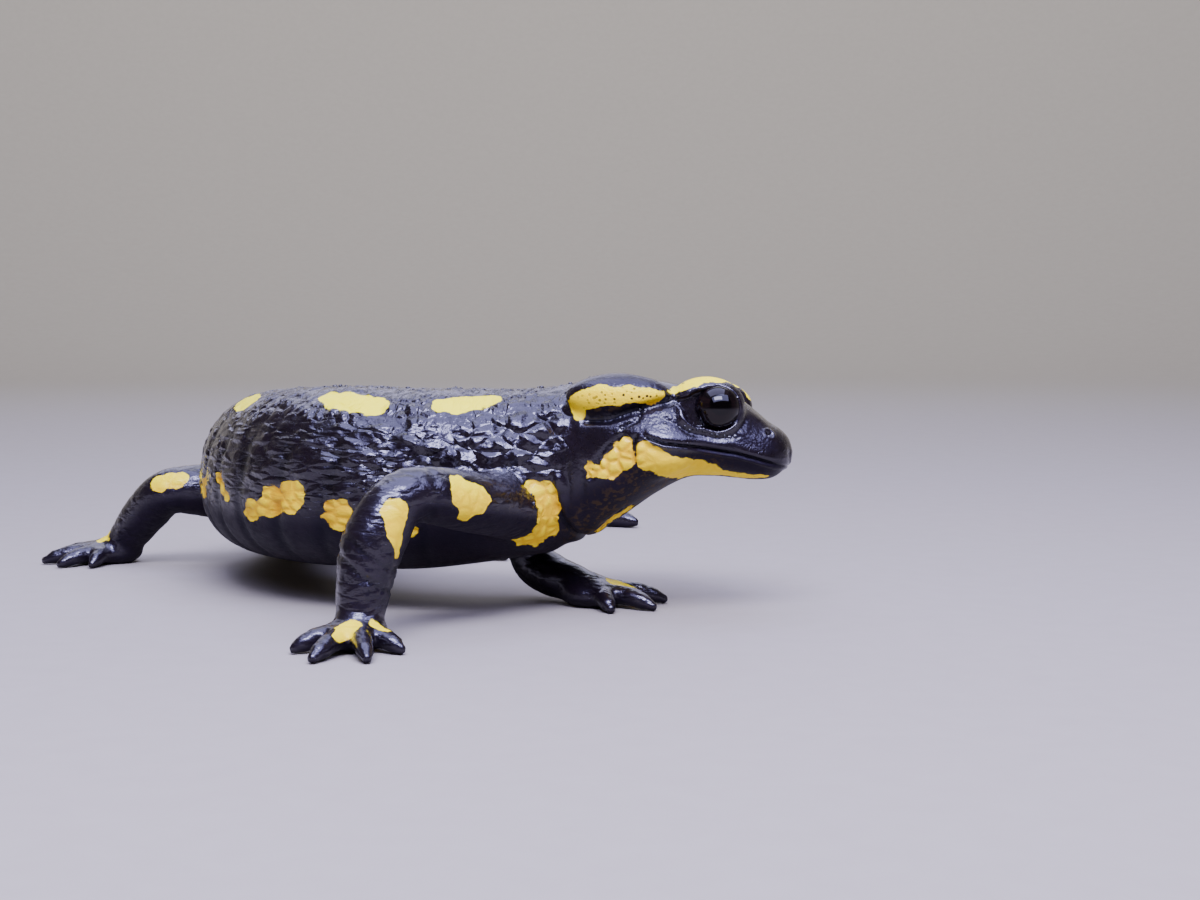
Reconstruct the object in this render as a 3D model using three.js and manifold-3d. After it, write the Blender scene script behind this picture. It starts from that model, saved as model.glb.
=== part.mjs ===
// A fire salamander at life size, standing with its body bent to its left and its tail curled round
// behind it. Millimetres, +Z up. The head looks towards +X, and the floor is z = 0.
//
// The head, trunk and tail are one loft of rounded sections along the spine, parted by thin cuts.
// Limbs are tubes of changing radius along curves, and digits are thinner tubes with round tips.
import * as THREE from "three";
import { mergeVertices } from "three/addons/utils/BufferGeometryUtils.js";
import Module from "manifold-3d";

const wasm = await Module();
wasm.setup();

// ---- Driving dimensions ---------------------------------------------------------------------

const GAP = 0.3; // between neighbouring pieces
const BODY_SIDES = 18; // corners of a body section
const RINGS_PER_STATION = 2; // body sections between two stations
const LIMB_SIDES = 11;
const DIGIT_SIDES = 6;
const LIMB_STEPS = 2; // rings of a limb between two of its places
const DOME_ANGLES = [36, 68]; // degrees up a tube's round end at which it has rings
const WIDEST = 0.45; // height of a body section's widest level, as a share of its height
const SQUARENESS = 2.3; // exponent of a body section: 2 is an ellipse, more is boxier

const EYE_RADIUS = 2.55;
const EYE_SIDE = 5.0; // from the midline to an eyeball's centre
const HEAD_YAW = THREE.MathUtils.degToRad(-10); // the snout turns to the animal's right
const EYE_LINE = new THREE.Vector3(13.4, 0.5, 23.1); // midway between the eyes' centres, unrolled
const HEAD_ROLL = THREE.MathUtils.degToRad(-5.5); // the head leans to its left, about its right eye
const ROLL_ENDS = [4, 22]; // behind the eye line: full roll up to the first, none past the second
const LAST_ROLLED_STATION = 13; // the neck's twist has died out by then

// Head sections, measured from the eye line: forward, half width, top, underside.
const HEAD_SECTIONS = [
  [7.25, 0.5, -4.8, -5.9], // tip of the snout
  [6.95, 1.9, -3.8, -6.8],
  [6.2, 3.1, -2.7, -7.5], // nostrils
  [5.0, 4.1, -1.6, -7.8],
  [3.2, 5.1, -0.1, -7.8],
  [1.4, 5.8, 1.2, -7.7], // front of the eyes
  [-1.0, 6.5, 2.0, -7.7],
  [-4.0, 7.4, 2.3, -8.0], // back of the eyes
  [-7.4, 8.1, 2.9, -9.8], // corners of the mouth
  [-11.0, 8.3, 3.5, -12.2], // back of the skull
  [-14.0, 7.9, 3.1, -14.1],
  [-17.2, 7.8, 1.9, -16.2], // fold of the throat
];

// Body sections on the floor's grid: x, y, half width, top, underside.
const BODY_SECTIONS = [
  [-8.0, 4.0, 8.9, 24.5, 6.0], // shoulders
  [-14.0, 4.8, 9.6, 24.4, 5.0],
  [-20.0, 5.8, 10.1, 24.4, 4.3],
  [-26.0, 7.6, 10.4, 24.5, 4.2], // middle of the trunk
  [-31.6, 11.6, 10.5, 24.3, 4.0],
  [-36.0, 18.0, 10.5, 23.7, 3.6],
  [-38.8, 26.0, 10.3, 22.9, 3.0], // loins
  [-39.8, 34.0, 9.4, 21.2, 2.6], // hips
  [-40.0, 41.0, 8.0, 18.2, 1.6],
  [-39.8, 47.5, 6.4, 14.2, 0.3], // vent
  [-39.0, 54.5, 5.4, 11.2, -0.15], // root of the tail
  [-36.2, 62.0, 4.7, 9.4, -0.2],
  [-30.4, 69.2, 4.1, 8.1, -0.2],
  [-22.4, 74.0, 3.6, 7.0, -0.2],
  [-13.8, 76.0, 3.0, 5.8, -0.2],
  [-5.4, 75.6, 2.3, 4.5, -0.2],
  [1.6, 73.4, 1.5, 3.1, -0.15],
  [6.0, 71.0, 0.6, 1.6, 0.1], // tip of the tail
];

// Cuts between the lengths of the body, as station numbers counted from the snout.
const NECK_CUT = 11;
const TRUNK_CUTS = { trunk_front: 13, trunk_middle: 16, trunk_rear: 18, pelvis: 21 };
const TAIL_CUTS = { tail_base: 23.5, tail_middle: 26, tail_tip: 29 };

// Digits, from the inner one to the outer: degrees from the way the hand or foot points, towards the
// animal's front, and the reach of the tip from the middle of the sole.
const FINGERS = [[62, 5.6], [22, 7.4], [-16, 7.8], [-56, 6.2]];
const TOES = [[66, 5.6], [34, 7.4], [4, 8.4], [-26, 7.9], [-60, 6.0]];

// A limb: its path from inside the body to the wrist or ankle, with radii, the numbers of the places
// where it is parted, its sole's middle, the way its hand or foot points in degrees, and its digits.
const LIMBS = [
  {
    names: ["upper_arm_right", "forearm_right", "hand_right"],
    path: [
      [-7.0, 0.4, 11.2, 3.4],
      [-13.2, -9.0, 13.4, 3.2],
      [-19.4, -14.6, 14.6, 2.8], // elbow
      [-22.4, -16.4, 10.6, 3.2],
      [-23.4, -17.2, 6.0, 2.8], // wrist
      [-23.8, -17.8, 3.0, 2.3],
    ],
    parting: [2.15, 4.1],
    sole: [-24.0, -18.8],
    heading: -97,
    turn: 1,
    digits: FINGERS,
  },
  {
    names: ["upper_arm_left", "forearm_left", "hand_left"],
    path: [
      [-8.4, 6.0, 13.0, 3.2],
      [-8.6, 10.2, 8.4, 2.8],
      [-7.6, 10.0, 4.4, 2.5], // elbow
      [-5.4, 8.2, 3.0, 2.4],
      [-3.2, 6.6, 2.5, 2.1], // wrist
      [-1.6, 5.6, 2.0, 1.8],
    ],
    parting: [1.9, 4.1],
    sole: [-0.8, 5.4],
    heading: -8,
    turn: -1,
    digits: FINGERS,
  },
  {
    names: ["thigh_right", "shank_right", "foot_right"],
    path: [
      [-41.5, 36.0, 8.8, 4.4],
      [-48.4, 34.8, 9.6, 3.6],
      [-54.8, 33.4, 9.8, 2.9], // knee
      [-58.4, 35.2, 7.0, 2.8],
      [-61.2, 36.8, 3.8, 2.4], // ankle
      [-62.6, 37.4, 2.3, 2.0],
    ],
    parting: [2.15, 4.1],
    sole: [-63.4, 37.6],
    heading: 190,
    turn: 1,
    digits: TOES,
  },
  {
    names: ["thigh_left", "shank_left", "foot_left"],
    path: [
      [-38.5, 38.0, 8.8, 4.4],
      [-31.8, 37.0, 9.4, 3.6],
      [-25.4, 34.6, 9.0, 2.9], // knee
      [-22.6, 36.8, 6.4, 2.8],
      [-20.8, 39.6, 3.6, 2.4], // ankle
      [-20.0, 40.8, 2.3, 2.0],
    ],
    parting: [2.15, 4.1],
    sole: [-19.4, 41.6],
    heading: 10,
    turn: -1,
    digits: TOES,
  },
];

const DIGIT_ROOT = { radius: 1.35, height: 1.6 };
const DIGIT_BEND = { radius: 1.15, height: 1.3 };
const DIGIT_TIP = { radius: 0.9, height: 0.75 }; // a little under its radius, so it rests on a flat
const ROOT_REACH = 1; // from the middle of the sole to a digit's root
const BEND_SHARE = 0.62; // of a digit's reach
const SOLE_SIZE = [3.5, 3.1, 1.7]; // half length, half width, half thickness
const SOLE_HEIGHT = 1.4;

const SKIN_BLACK = new THREE.MeshStandardMaterial({ color: "#15141b", roughness: 0.3, metalness: 0 });
const EYE_BLACK = new THREE.MeshStandardMaterial({ color: "#0b090c", roughness: 0.08, metalness: 0 });

// ---- Turning geometry into solids and back ----------------------------------------------------

function solidOf(geometry) {
  const bare = new THREE.BufferGeometry();
  bare.setAttribute("position", geometry.getAttribute("position"));
  bare.setIndex(geometry.index);
  const merged = mergeVertices(bare, 1e-4);
  return new wasm.Manifold(
    new wasm.Mesh({
      numProp: 3,
      vertProperties: merged.attributes.position.array,
      triVerts: new Uint32Array(merged.index.array),
    }),
  );
}

function meshOf(name, solid, material) {
  const made = solid.getMesh();
  const geometry = new THREE.BufferGeometry();
  geometry.setAttribute("position", new THREE.BufferAttribute(made.vertProperties, 3));
  geometry.setIndex(new THREE.BufferAttribute(made.triVerts, 1));
  geometry.computeVertexNormals();
  const mesh = new THREE.Mesh(geometry, material);
  mesh.name = name;
  return mesh;
}

// A closed skin over a row of rings, each a loop of points, with a fan over either end.
function skinOver(rings) {
  const sides = rings[0].length;
  const points = rings.flat();
  const faces = [];
  for (let r = 0; r + 1 < rings.length; r++) {
    for (let i = 0; i < sides; i++) {
      const a = r * sides + i;
      const b = r * sides + ((i + 1) % sides);
      faces.push(a, b, b + sides, a, b + sides, a + sides);
    }
  }
  for (const [first, turn] of [[0, 1], [(rings.length - 1) * sides, 0]]) {
    const ring = points.slice(first, first + sides);
    const middle = ring.reduce((sum, p) => sum.add(p), new THREE.Vector3()).divideScalar(sides);
    const centre = points.push(middle) - 1;
    for (let i = 0; i < sides; i++) {
      const pair = [first + i, first + ((i + 1) % sides)];
      faces.push(centre, pair[turn], pair[1 - turn]);
    }
  }
  return new THREE.BufferGeometry().setFromPoints(points).setIndex(faces);
}

// ---- The body: head, trunk and tail -----------------------------------------------------------

const forward = new THREE.Vector3(1, 0, 0).applyAxisAngle(new THREE.Vector3(0, 0, 1), HEAD_YAW);
const headStations = HEAD_SECTIONS.map(([ahead, half, top, under]) => {
  const place = EYE_LINE.clone().addScaledVector(forward, ahead);
  return [place.x, place.y, half, EYE_LINE.z + top, EYE_LINE.z + under];
});
const stations = [...headStations, ...BODY_SECTIONS];

const toLeft = new THREE.Vector3(-forward.y, forward.x, 0);
const rollCentre = EYE_LINE.clone().addScaledVector(toLeft, -EYE_SIDE);

// Where a point of the head or neck goes as the head rolls.
function rolled(point) {
  const offset = point.clone().sub(rollCentre);
  const still = THREE.MathUtils.smoothstep(-offset.dot(forward), ...ROLL_ENDS);
  return offset.applyAxisAngle(forward, HEAD_ROLL * (1 - still)).add(rollCentre);
}

function rollGeometry(geometry) {
  const places = geometry.getAttribute("position");
  for (let i = 0; i < places.count; i++) {
    const moved = rolled(new THREE.Vector3().fromBufferAttribute(places, i));
    places.setXYZ(i, ...moved);
  }
  return geometry;
}

const spine = new THREE.CatmullRomCurve3(
  stations.map(([x, y, , top, under]) => new THREE.Vector3(x, y, under + WIDEST * (top - under))),
  false,
  "catmullrom",
);
const girth = new THREE.CatmullRomCurve3(
  stations.map(([, , half, top, under]) => {
    const height = top - under;
    return new THREE.Vector3(half, (1 - WIDEST) * height, WIDEST * height);
  }),
  false,
  "catmullrom",
);

const lastStation = stations.length - 1;

// The loop of points round the body at a station, which may lie between two. Extra is added all round.
function bodyRing(station, extra = 0) {
  const t = THREE.MathUtils.clamp(station / lastStation, 0, 1);
  const centre = spine.getPoint(t);
  const size = girth.getPoint(t);
  const along = spine.getTangent(t).setZ(0).normalize();
  const side = new THREE.Vector3(-along.y, along.x, 0);
  const power = 2 / SQUARENESS;
  return Array.from({ length: BODY_SIDES }, (_, i) => {
    const angle = (2 * Math.PI * i) / BODY_SIDES;
    const across = Math.sign(Math.cos(angle)) * Math.abs(Math.cos(angle)) ** power;
    const up = Math.sign(Math.sin(angle)) * Math.abs(Math.sin(angle)) ** power;
    const height = up > 0 ? size.y : size.z;
    const place = centre.clone().addScaledVector(side, across * (size.x + extra));
    place.z += up * (height + extra);
    return station < LAST_ROLLED_STATION ? rolled(place) : place;
  });
}

function bodyLength(from, to, extra = 0) {
  const steps = Math.max(1, Math.round((to - from) * RINGS_PER_STATION));
  const rings = [];
  for (let i = 0; i <= steps; i++) {
    rings.push(bodyRing(from + ((to - from) * i) / steps, extra));
  }
  return solidOf(skinOver(rings));
}

// ---- Round forms ------------------------------------------------------------------------------

const EGG_GRID = [12, 8]; // meridians and parallels
const EYE_GRID = [16, 10];
const SOLE_GRID = [12, 6];

// An egg with the given half sizes, placed in the head's own frame.
function headEgg(ahead, side, up, halfSizes, grid = EGG_GRID) {
  const egg = new THREE.SphereGeometry(1, ...grid);
  egg.scale(...halfSizes);
  egg.translate(ahead, side, up);
  egg.rotateZ(HEAD_YAW);
  egg.translate(EYE_LINE.x, EYE_LINE.y, EYE_LINE.z);
  return solidOf(rollGeometry(egg));
}

// A tube along a curve through places given as x, y, z, radius. It starts flat and ends in a dome.
function tube(places, sides, stepsPerPlace) {
  const points = places.map(([x, y, z]) => new THREE.Vector3(x, y, z));
  const path = new THREE.CatmullRomCurve3(points, false, "catmullrom");
  const radii = new THREE.SplineCurve(places.map(([, , , radius], i) => new THREE.Vector2(i, radius)));
  const steps = (places.length - 1) * stepsPerPlace;
  const rings = [];
  const side = new THREE.Vector3(0, 0, 1).cross(path.getTangent(0)).normalize();
  const addRing = (centre, along, radius) => {
    const other = new THREE.Vector3().crossVectors(along, side).normalize();
    const ring = Array.from({ length: sides }, (_, i) => {
      const angle = (2 * Math.PI * i) / sides;
      return centre
        .clone()
        .addScaledVector(side, radius * Math.cos(angle))
        .addScaledVector(other, radius * Math.sin(angle));
    });
    rings.push(ring);
  };
  for (let i = 0; i <= steps; i++) {
    const along = path.getTangent(i / steps);
    side.addScaledVector(along, -side.dot(along)).normalize();
    addRing(path.getPoint(i / steps), along, radii.getPoint(i / steps).y);
  }
  const along = path.getTangent(1);
  const radius = radii.getPoint(1).y;
  for (const angle of DOME_ANGLES.map(THREE.MathUtils.degToRad)) {
    const centre = path.getPoint(1).addScaledVector(along, radius * Math.sin(angle));
    addRing(centre, along, radius * Math.cos(angle));
  }
  return { solid: solidOf(skinOver(rings)), path };
}

// What is left of a solid on one side of a plane, half a gap away from it.
function keepSide(solid, point, normal) {
  const n = normal.clone().normalize();
  return solid.trimByPlane([n.x, n.y, n.z], n.dot(point) + GAP / 2);
}

const aboveFloor = (solid) => solid.trimByPlane([0, 0, 1], 0);

// The largest of the bodies that a cut leaves; the rest are slivers.
const largestOf = (solid) => solid.decompose().reduce((a, b) => (b.volume() > a.volume() ? b : a));

// ---- The head ---------------------------------------------------------------------------------

const SIDES = { right: -1, left: 1 };

const ball = (side, radius) => headEgg(0, side * EYE_SIDE, 0, Array(3).fill(radius), EYE_GRID);

function headSolid() {
  let head = bodyLength(0, NECK_CUT);
  for (const side of Object.values(SIDES)) {
    head = head
      .add(headEgg(-1.3, side * 4.4, 0.1, [4.1, 2.4, 2.95])) // brow and lids round the eye
      .add(headEgg(-10.6, side * 5.9, 0.9, [5.6, 2.6, 2.3])) // parotoid gland
      .add(headEgg(-6.4, side * 6.2, -4.6, [3.8, 2.6, 3.0])); // jaw muscle at the mouth's corner
  }
  for (const side of Object.values(SIDES)) {
    head = head.subtract(ball(side, EYE_RADIUS + GAP));
  }
  const end = NECK_CUT / lastStation;
  return largestOf(keepSide(head, spine.getPoint(end), spine.getTangent(end).setZ(0).negate()));
}

// The mouth's line from the snout to its corner, seen from the side: forward and up.
const MOUTH_LINE = [
  [8.4, -6.75],
  [6.0, -6.15],
  [3.8, -5.3],
  [0, -4.5],
  [-4, -4.15],
  [-7.3, -3.4],
];
const JAW_REACH = 12; // further than the jaw in every way
const JAW_BACK = [0.6, 2]; // how far behind and under the mouth's corner the jaw's cut goes

// Everything under the mouth's line and in front of its corner, moved down and forward by a clearance.
function jawRegion(clearance) {
  const line = new THREE.SplineCurve(MOUTH_LINE.map(([x, z]) => new THREE.Vector2(x, z)));
  const edge = line.getPoints(10).map((p) => new THREE.Vector2(p.x + clearance, p.y - clearance));
  const corner = edge[edge.length - 1];
  const outline = new THREE.Shape([
    ...edge,
    new THREE.Vector2(corner.x - JAW_BACK[0], corner.y - JAW_BACK[1]),
    new THREE.Vector2(corner.x, -JAW_REACH),
    new THREE.Vector2(edge[0].x, -JAW_REACH),
  ]);
  const block = new THREE.ExtrudeGeometry(outline, { depth: 2 * JAW_REACH, bevelEnabled: false });
  block.rotateX(Math.PI / 2);
  block.translate(0, JAW_REACH, 0);
  block.rotateZ(HEAD_YAW);
  block.translate(EYE_LINE.x, EYE_LINE.y, EYE_LINE.z);
  return solidOf(rollGeometry(block));
}

const part = new THREE.Group();
const whole = headSolid();
part.add(meshOf("head", whole.subtract(jawRegion(0)), SKIN_BLACK));
part.add(meshOf("lower_jaw", whole.intersect(jawRegion(GAP)), SKIN_BLACK));
for (const [name, side] of Object.entries(SIDES)) {
  part.add(meshOf(`eye_${name}`, ball(side, EYE_RADIUS), EYE_BLACK));
}

// ---- Neck, trunk and tail ---------------------------------------------------------------------

const PROBE = 0.01; // stations

// How many stations a gap takes up at a cut.
function cutGap(station) {
  const here = spine.getPoint(station / lastStation);
  const before = spine.getPoint((station - PROBE) / lastStation);
  return (GAP * PROBE) / here.distanceTo(before);
}

let from = NECK_CUT;
const lengths = {};
for (const [name, to] of Object.entries({ neck: 12, ...TRUNK_CUTS, ...TAIL_CUTS })) {
  const start = from + cutGap(from);
  lengths[name] = aboveFloor(bodyLength(start, to));
  from = to;
}

// ---- Limbs ------------------------------------------------------------------------------------

function digit([x, y], angle, reach) {
  const place = (distance, { radius, height }) => [
    x + distance * Math.cos(angle),
    y + distance * Math.sin(angle),
    height,
    radius,
  ];
  const places = [
    place(ROOT_REACH, DIGIT_ROOT),
    place(reach * BEND_SHARE, DIGIT_BEND),
    place(reach, DIGIT_TIP),
  ];
  return tube(places, DIGIT_SIDES, 1).solid;
}

function pad([x, y], angle) {
  const egg = new THREE.SphereGeometry(1, ...SOLE_GRID);
  egg.rotateX(Math.PI / 2);
  egg.scale(...SOLE_SIZE);
  egg.rotateZ(angle);
  egg.translate(x, y, SOLE_HEIGHT);
  return solidOf(egg);
}

function limbPieces({ names, path, parting, sole, heading, turn, digits }) {
  const limb = tube(path, LIMB_SIDES, LIMB_STEPS);
  const [joint, wrist] = parting.map((place) => {
    const t = place / (path.length - 1);
    return { point: limb.path.getPoint(t), along: limb.path.getTangent(t) };
  });
  const before = (solid, cut) => keepSide(solid, cut.point, cut.along.clone().negate());
  const after = (solid, cut) => keepSide(solid, cut.point, cut.along);
  let hand = limb.solid.add(pad(sole, THREE.MathUtils.degToRad(heading)));
  for (const [degrees, reach] of digits) {
    hand = hand.add(digit(sole, THREE.MathUtils.degToRad(heading + turn * degrees), reach));
  }
  return [
    [names[0], before(limb.solid, joint)],
    [names[1], before(after(limb.solid, joint), wrist)],
    [names[2], aboveFloor(after(hand, wrist))],
  ];
}

const clearOfBody = bodyLength(NECK_CUT - 2, TRUNK_CUTS.pelvis, GAP);
for (const limb of LIMBS) {
  for (const [name, solid] of limbPieces(limb)) {
    part.add(meshOf(name, largestOf(solid.subtract(clearOfBody)), SKIN_BLACK));
  }
}
for (const [name, solid] of Object.entries(lengths)) part.add(meshOf(name, solid, SKIN_BLACK));

// ---- The frame: origin on the floor, under the middle of the whole ------------------------------

const box = new THREE.Box3().setFromObject(part, true);
const middle = box.getCenter(new THREE.Vector3());
part.position.set(-middle.x, -middle.y, -box.min.z);

export default part;
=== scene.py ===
# %% [markdown]
# # A fire salamander at life size
# A still model of one animal, standing with its body bent to its left and its tail curled round behind
# it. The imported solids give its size, its stance and the forms of its trunk, tail and limbs. The head's
# forms are finer here, a little fuller at the snout, the cheeks and the glands, and a little higher
# under the jaw. Over them come the looks: one wet skin from the snout to the tail and the toes, the
# beads of its glands, and two eyes.
# Each cell does one thing and prints what it made, so they can be read and run in order.

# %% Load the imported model
import math

import bmesh
import bpy
import numpy as np
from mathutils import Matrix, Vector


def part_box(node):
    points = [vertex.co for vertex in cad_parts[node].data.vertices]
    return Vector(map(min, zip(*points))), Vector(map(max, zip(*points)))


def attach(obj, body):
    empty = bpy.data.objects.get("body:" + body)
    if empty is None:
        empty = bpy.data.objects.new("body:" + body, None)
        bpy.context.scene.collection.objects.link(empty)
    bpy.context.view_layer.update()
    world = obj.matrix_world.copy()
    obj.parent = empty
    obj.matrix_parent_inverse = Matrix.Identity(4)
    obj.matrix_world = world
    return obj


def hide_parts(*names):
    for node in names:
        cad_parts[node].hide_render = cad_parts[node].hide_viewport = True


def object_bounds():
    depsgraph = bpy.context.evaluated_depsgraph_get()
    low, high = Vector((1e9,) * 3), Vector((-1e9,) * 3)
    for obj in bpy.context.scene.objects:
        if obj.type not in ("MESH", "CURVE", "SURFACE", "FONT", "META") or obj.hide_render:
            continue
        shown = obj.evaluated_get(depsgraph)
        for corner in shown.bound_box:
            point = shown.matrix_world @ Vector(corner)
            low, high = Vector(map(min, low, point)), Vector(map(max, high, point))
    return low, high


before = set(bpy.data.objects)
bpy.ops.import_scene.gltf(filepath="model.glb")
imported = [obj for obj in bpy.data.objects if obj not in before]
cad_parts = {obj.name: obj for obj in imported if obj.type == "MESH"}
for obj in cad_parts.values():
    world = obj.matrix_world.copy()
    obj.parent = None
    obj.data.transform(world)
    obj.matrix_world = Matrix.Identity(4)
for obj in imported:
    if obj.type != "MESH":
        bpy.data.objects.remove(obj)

import openvdb
from mathutils import Vector

CAD_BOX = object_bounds()
print("packed model, mm:", [round(1000 * side, 1) for side in CAD_BOX[1] - CAD_BOX[0]])

# %% [markdown]
# ## One grid for the maker and the frame
# An animal is easier to measure from its own eyes than from the middle of a box, so all places below
# are millimetres on a maker's grid whose eye line, the point midway between the eyes, is a known
# place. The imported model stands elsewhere, so the right eye's box gives the shift between the two.

# %% The maker's grid
MM = 0.001
EYE_LINE = np.array([13.4, 0.5, 23.1])  # midway between the eyes' centres, before the head rolls
EYE_SIDE = 5.0  # from the midline to an eyeball's centre
HEAD_YAW = math.radians(-10.0)  # the snout turns to the animal's right
FORWARD = np.array([math.cos(HEAD_YAW), math.sin(HEAD_YAW)])
LEFTWARD = np.array([-math.sin(HEAD_YAW), math.cos(HEAD_YAW)])
RIGHT_EYE = EYE_LINE - EYE_SIDE * np.array([*LEFTWARD, 0.0])
GRID_SHIFT = np.mean([np.array(corner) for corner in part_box("eye_right")], axis=0) / MM - RIGHT_EYE


def to_frame(points):
    """Places on the maker's grid, in millimetres, as places in the frame, in metres."""
    return (np.asarray(points, float) + GRID_SHIFT) * MM


print("grid to frame, mm:", GRID_SHIFT.round(2))

# %% [markdown]
# ## Camera
# The camera stands low, two hands' widths from the animal's right side, as a person lying on the
# ground would hold it. The lens is a moderate one, and depth of field is off.

# %% Camera
CAMERA_TARGET = (0.0, 0.0, 18.0)
CAMERA_DISTANCE = 190.0
CAMERA_RISE = math.radians(5.0)
CAMERA_LENS = 52.56  # millimetres, on a sensor 36 mm wide

camera_place = np.array(CAMERA_TARGET) + CAMERA_DISTANCE * np.array(
    [0.0, -math.cos(CAMERA_RISE), math.sin(CAMERA_RISE)]
)


def put_in_scene(name, data):
    """Puts a mesh, a lamp or a camera into the scene as an object, and returns it."""
    made = bpy.data.objects.new(name, data)
    bpy.context.scene.collection.objects.link(made)
    return made


camera_data = bpy.data.cameras.new("camera")
camera_data.lens = CAMERA_LENS
camera_data.sensor_width = 36.0
camera_data.clip_start = 0.005
camera_data.clip_end = 20.0
camera = put_in_scene("camera", camera_data)
camera.location = to_frame(camera_place)
camera.rotation_euler = (math.pi / 2 - CAMERA_RISE, 0.0, 0.0)
bpy.context.scene.camera = camera
print("camera, mm:", camera_place.round(1))

# %% [markdown]
# ## The body as a row of sections
# Head, trunk and tail are one long form. It is described as a boat builder does it: a spine seen from
# above, and at each station along it a half width, a top and an underside. A smooth curve runs
# through the stations. Each section is a rounded box, widest a little under its middle.

# %% Stations of the body
# Head sections, measured from the eye line: forward, half width, top, underside.
HEAD_SECTIONS = [
    (7.25, 0.5, -4.8, -5.9),  # tip of the snout
    (6.95, 1.9, -3.8, -6.45),
    (6.2, 3.1, -2.7, -7.15),  # nostrils
    (5.0, 4.1, -1.6, -7.65),
    (3.2, 5.1, -0.1, -7.75),
    (1.4, 5.8, 1.2, -7.6),  # front of the eyes
    (-1.0, 6.5, 2.0, -7.45),
    (-4.0, 7.4, 2.3, -7.7),  # back of the eyes
    (-7.4, 8.1, 2.9, -9.5),  # corners of the mouth
    (-11.0, 8.3, 3.5, -12.2),  # back of the skull
    (-14.0, 7.9, 3.1, -14.1),
    (-17.2, 7.8, 1.9, -16.2),  # fold of the throat
]

# Body sections on the floor's grid: x, y, half width, top, underside.
BODY_SECTIONS = [
    (-8.0, 4.0, 8.9, 24.5, 6.0),  # shoulders
    (-14.0, 4.8, 9.6, 24.4, 5.0),
    (-20.0, 5.8, 10.1, 24.4, 4.3),
    (-26.0, 7.6, 10.4, 24.5, 4.2),  # middle of the trunk
    (-31.6, 11.6, 10.5, 24.3, 4.0),
    (-36.0, 18.0, 10.5, 23.7, 3.6),
    (-38.8, 26.0, 10.3, 22.9, 3.0),  # loins
    (-39.8, 34.0, 9.4, 21.2, 2.6),  # hips
    (-40.0, 41.0, 8.0, 18.2, 1.6),
    (-39.8, 47.5, 6.4, 14.2, 0.3),  # vent
    (-39.0, 54.5, 5.4, 11.2, -0.15),  # root of the tail
    (-36.2, 62.0, 4.7, 9.4, -0.2),
    (-30.4, 69.2, 4.1, 8.1, -0.2),
    (-22.4, 74.0, 3.6, 7.0, -0.2),
    (-13.8, 76.0, 3.0, 5.8, -0.2),
    (-5.4, 75.6, 2.3, 4.5, -0.2),
    (1.6, 73.4, 1.5, 3.1, -0.15),
    (6.0, 71.0, 0.6, 1.6, 0.1),  # tip of the tail
]
WIDEST = 0.45  # height of a section's widest level, as a share of its height
SQUARENESS = 2.3  # exponent of a section: 2 is an ellipse, more is boxier


def curve_through(rows, places):
    """A smooth curve through rows of numbers, read at row numbers that may lie between two rows."""
    rows = np.asarray(rows, float)
    padded = np.vstack([2 * rows[0] - rows[1], rows, 2 * rows[-1] - rows[-2]])
    row = np.clip(np.floor(places).astype(int), 0, len(rows) - 2)
    share = (places - row)[:, None]
    before, start, end, after = (padded[row + step] for step in range(4))
    bend = 2 * before - 5 * start + 4 * end - after + share * (3 * (start - end) + after - before)
    return start + 0.5 * share * (end - before + share * bend)


head_stations = [
    (*(EYE_LINE[:2] + ahead * FORWARD), half, EYE_LINE[2] + top, EYE_LINE[2] + under)
    for ahead, half, top, under in HEAD_SECTIONS
]
stations = np.array([*head_stations, *BODY_SECTIONS])
print(len(stations), "stations,", len(HEAD_SECTIONS), "of them on the head")

# %% The spine, sampled finely
SPINE_SAMPLES = 700
TAIL_POINT = 2.5  # length of the tail's rounded end
TAIL_STUB = 0.01  # what the very tip keeps of the tail's breadth, squared
CHUNK = 8192  # places looked up at a time, to spare memory

sample_stations = np.linspace(0, len(stations) - 1, SPINE_SAMPLES)
tops, undersides = stations[:, 3], stations[:, 4]
section_rows = np.column_stack(
    [
        stations[:, :2],
        undersides + WIDEST * (tops - undersides),
        stations[:, 2],
        (1 - WIDEST) * (tops - undersides),
        WIDEST * (tops - undersides),
    ]
)
spine = curve_through(section_rows, sample_stations)
# The tail ends in a round point. The head's half is left out, as the tail may curl up close to it.
to_tail_end = np.linalg.norm(spine[:, :2] - spine[-1, :2], axis=1)
to_tail_end[: SPINE_SAMPLES // 2] = TAIL_POINT
rounded = np.clip(1 - to_tail_end / TAIL_POINT, 0, 1)
spine[:, 3:] *= np.sqrt(np.maximum(1 - rounded**2, TAIL_STUB))[:, None]
spine_xy = spine[:, :2]
spine_along = np.gradient(spine_xy, axis=0)
spine_along /= np.linalg.norm(spine_along, axis=1)[:, None]
spine_left = np.column_stack([spine_along[:, 1], -spine_along[:, 0]])
steps = np.linalg.norm(np.diff(spine_xy, axis=0), axis=1)
# Distance along the body, which is 0 at the eye line and grows towards the tail.
spine_behind = np.concatenate([[0.0], np.cumsum(steps)]) - HEAD_SECTIONS[0][0]


def straighten(xy):
    """How far behind the eye line, and how far to the left of the spine, each floor place lies."""
    behind, aside = np.empty(len(xy)), np.empty(len(xy))
    squares = (spine_xy**2).sum(axis=1)
    for start in range(0, len(xy), CHUNK):
        part = slice(start, start + CHUNK)
        nearest = np.argmin(squares - 2 * (xy[part] @ spine_xy.T), axis=1)
        offset = xy[part] - spine_xy[nearest]
        behind[part] = spine_behind[nearest] + (offset * spine_along[nearest]).sum(axis=1)
        aside[part] = (offset * spine_left[nearest]).sum(axis=1)
    return behind, aside


print("body length along the spine, mm:", round(spine_behind[-1] - spine_behind[0], 1))

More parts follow.
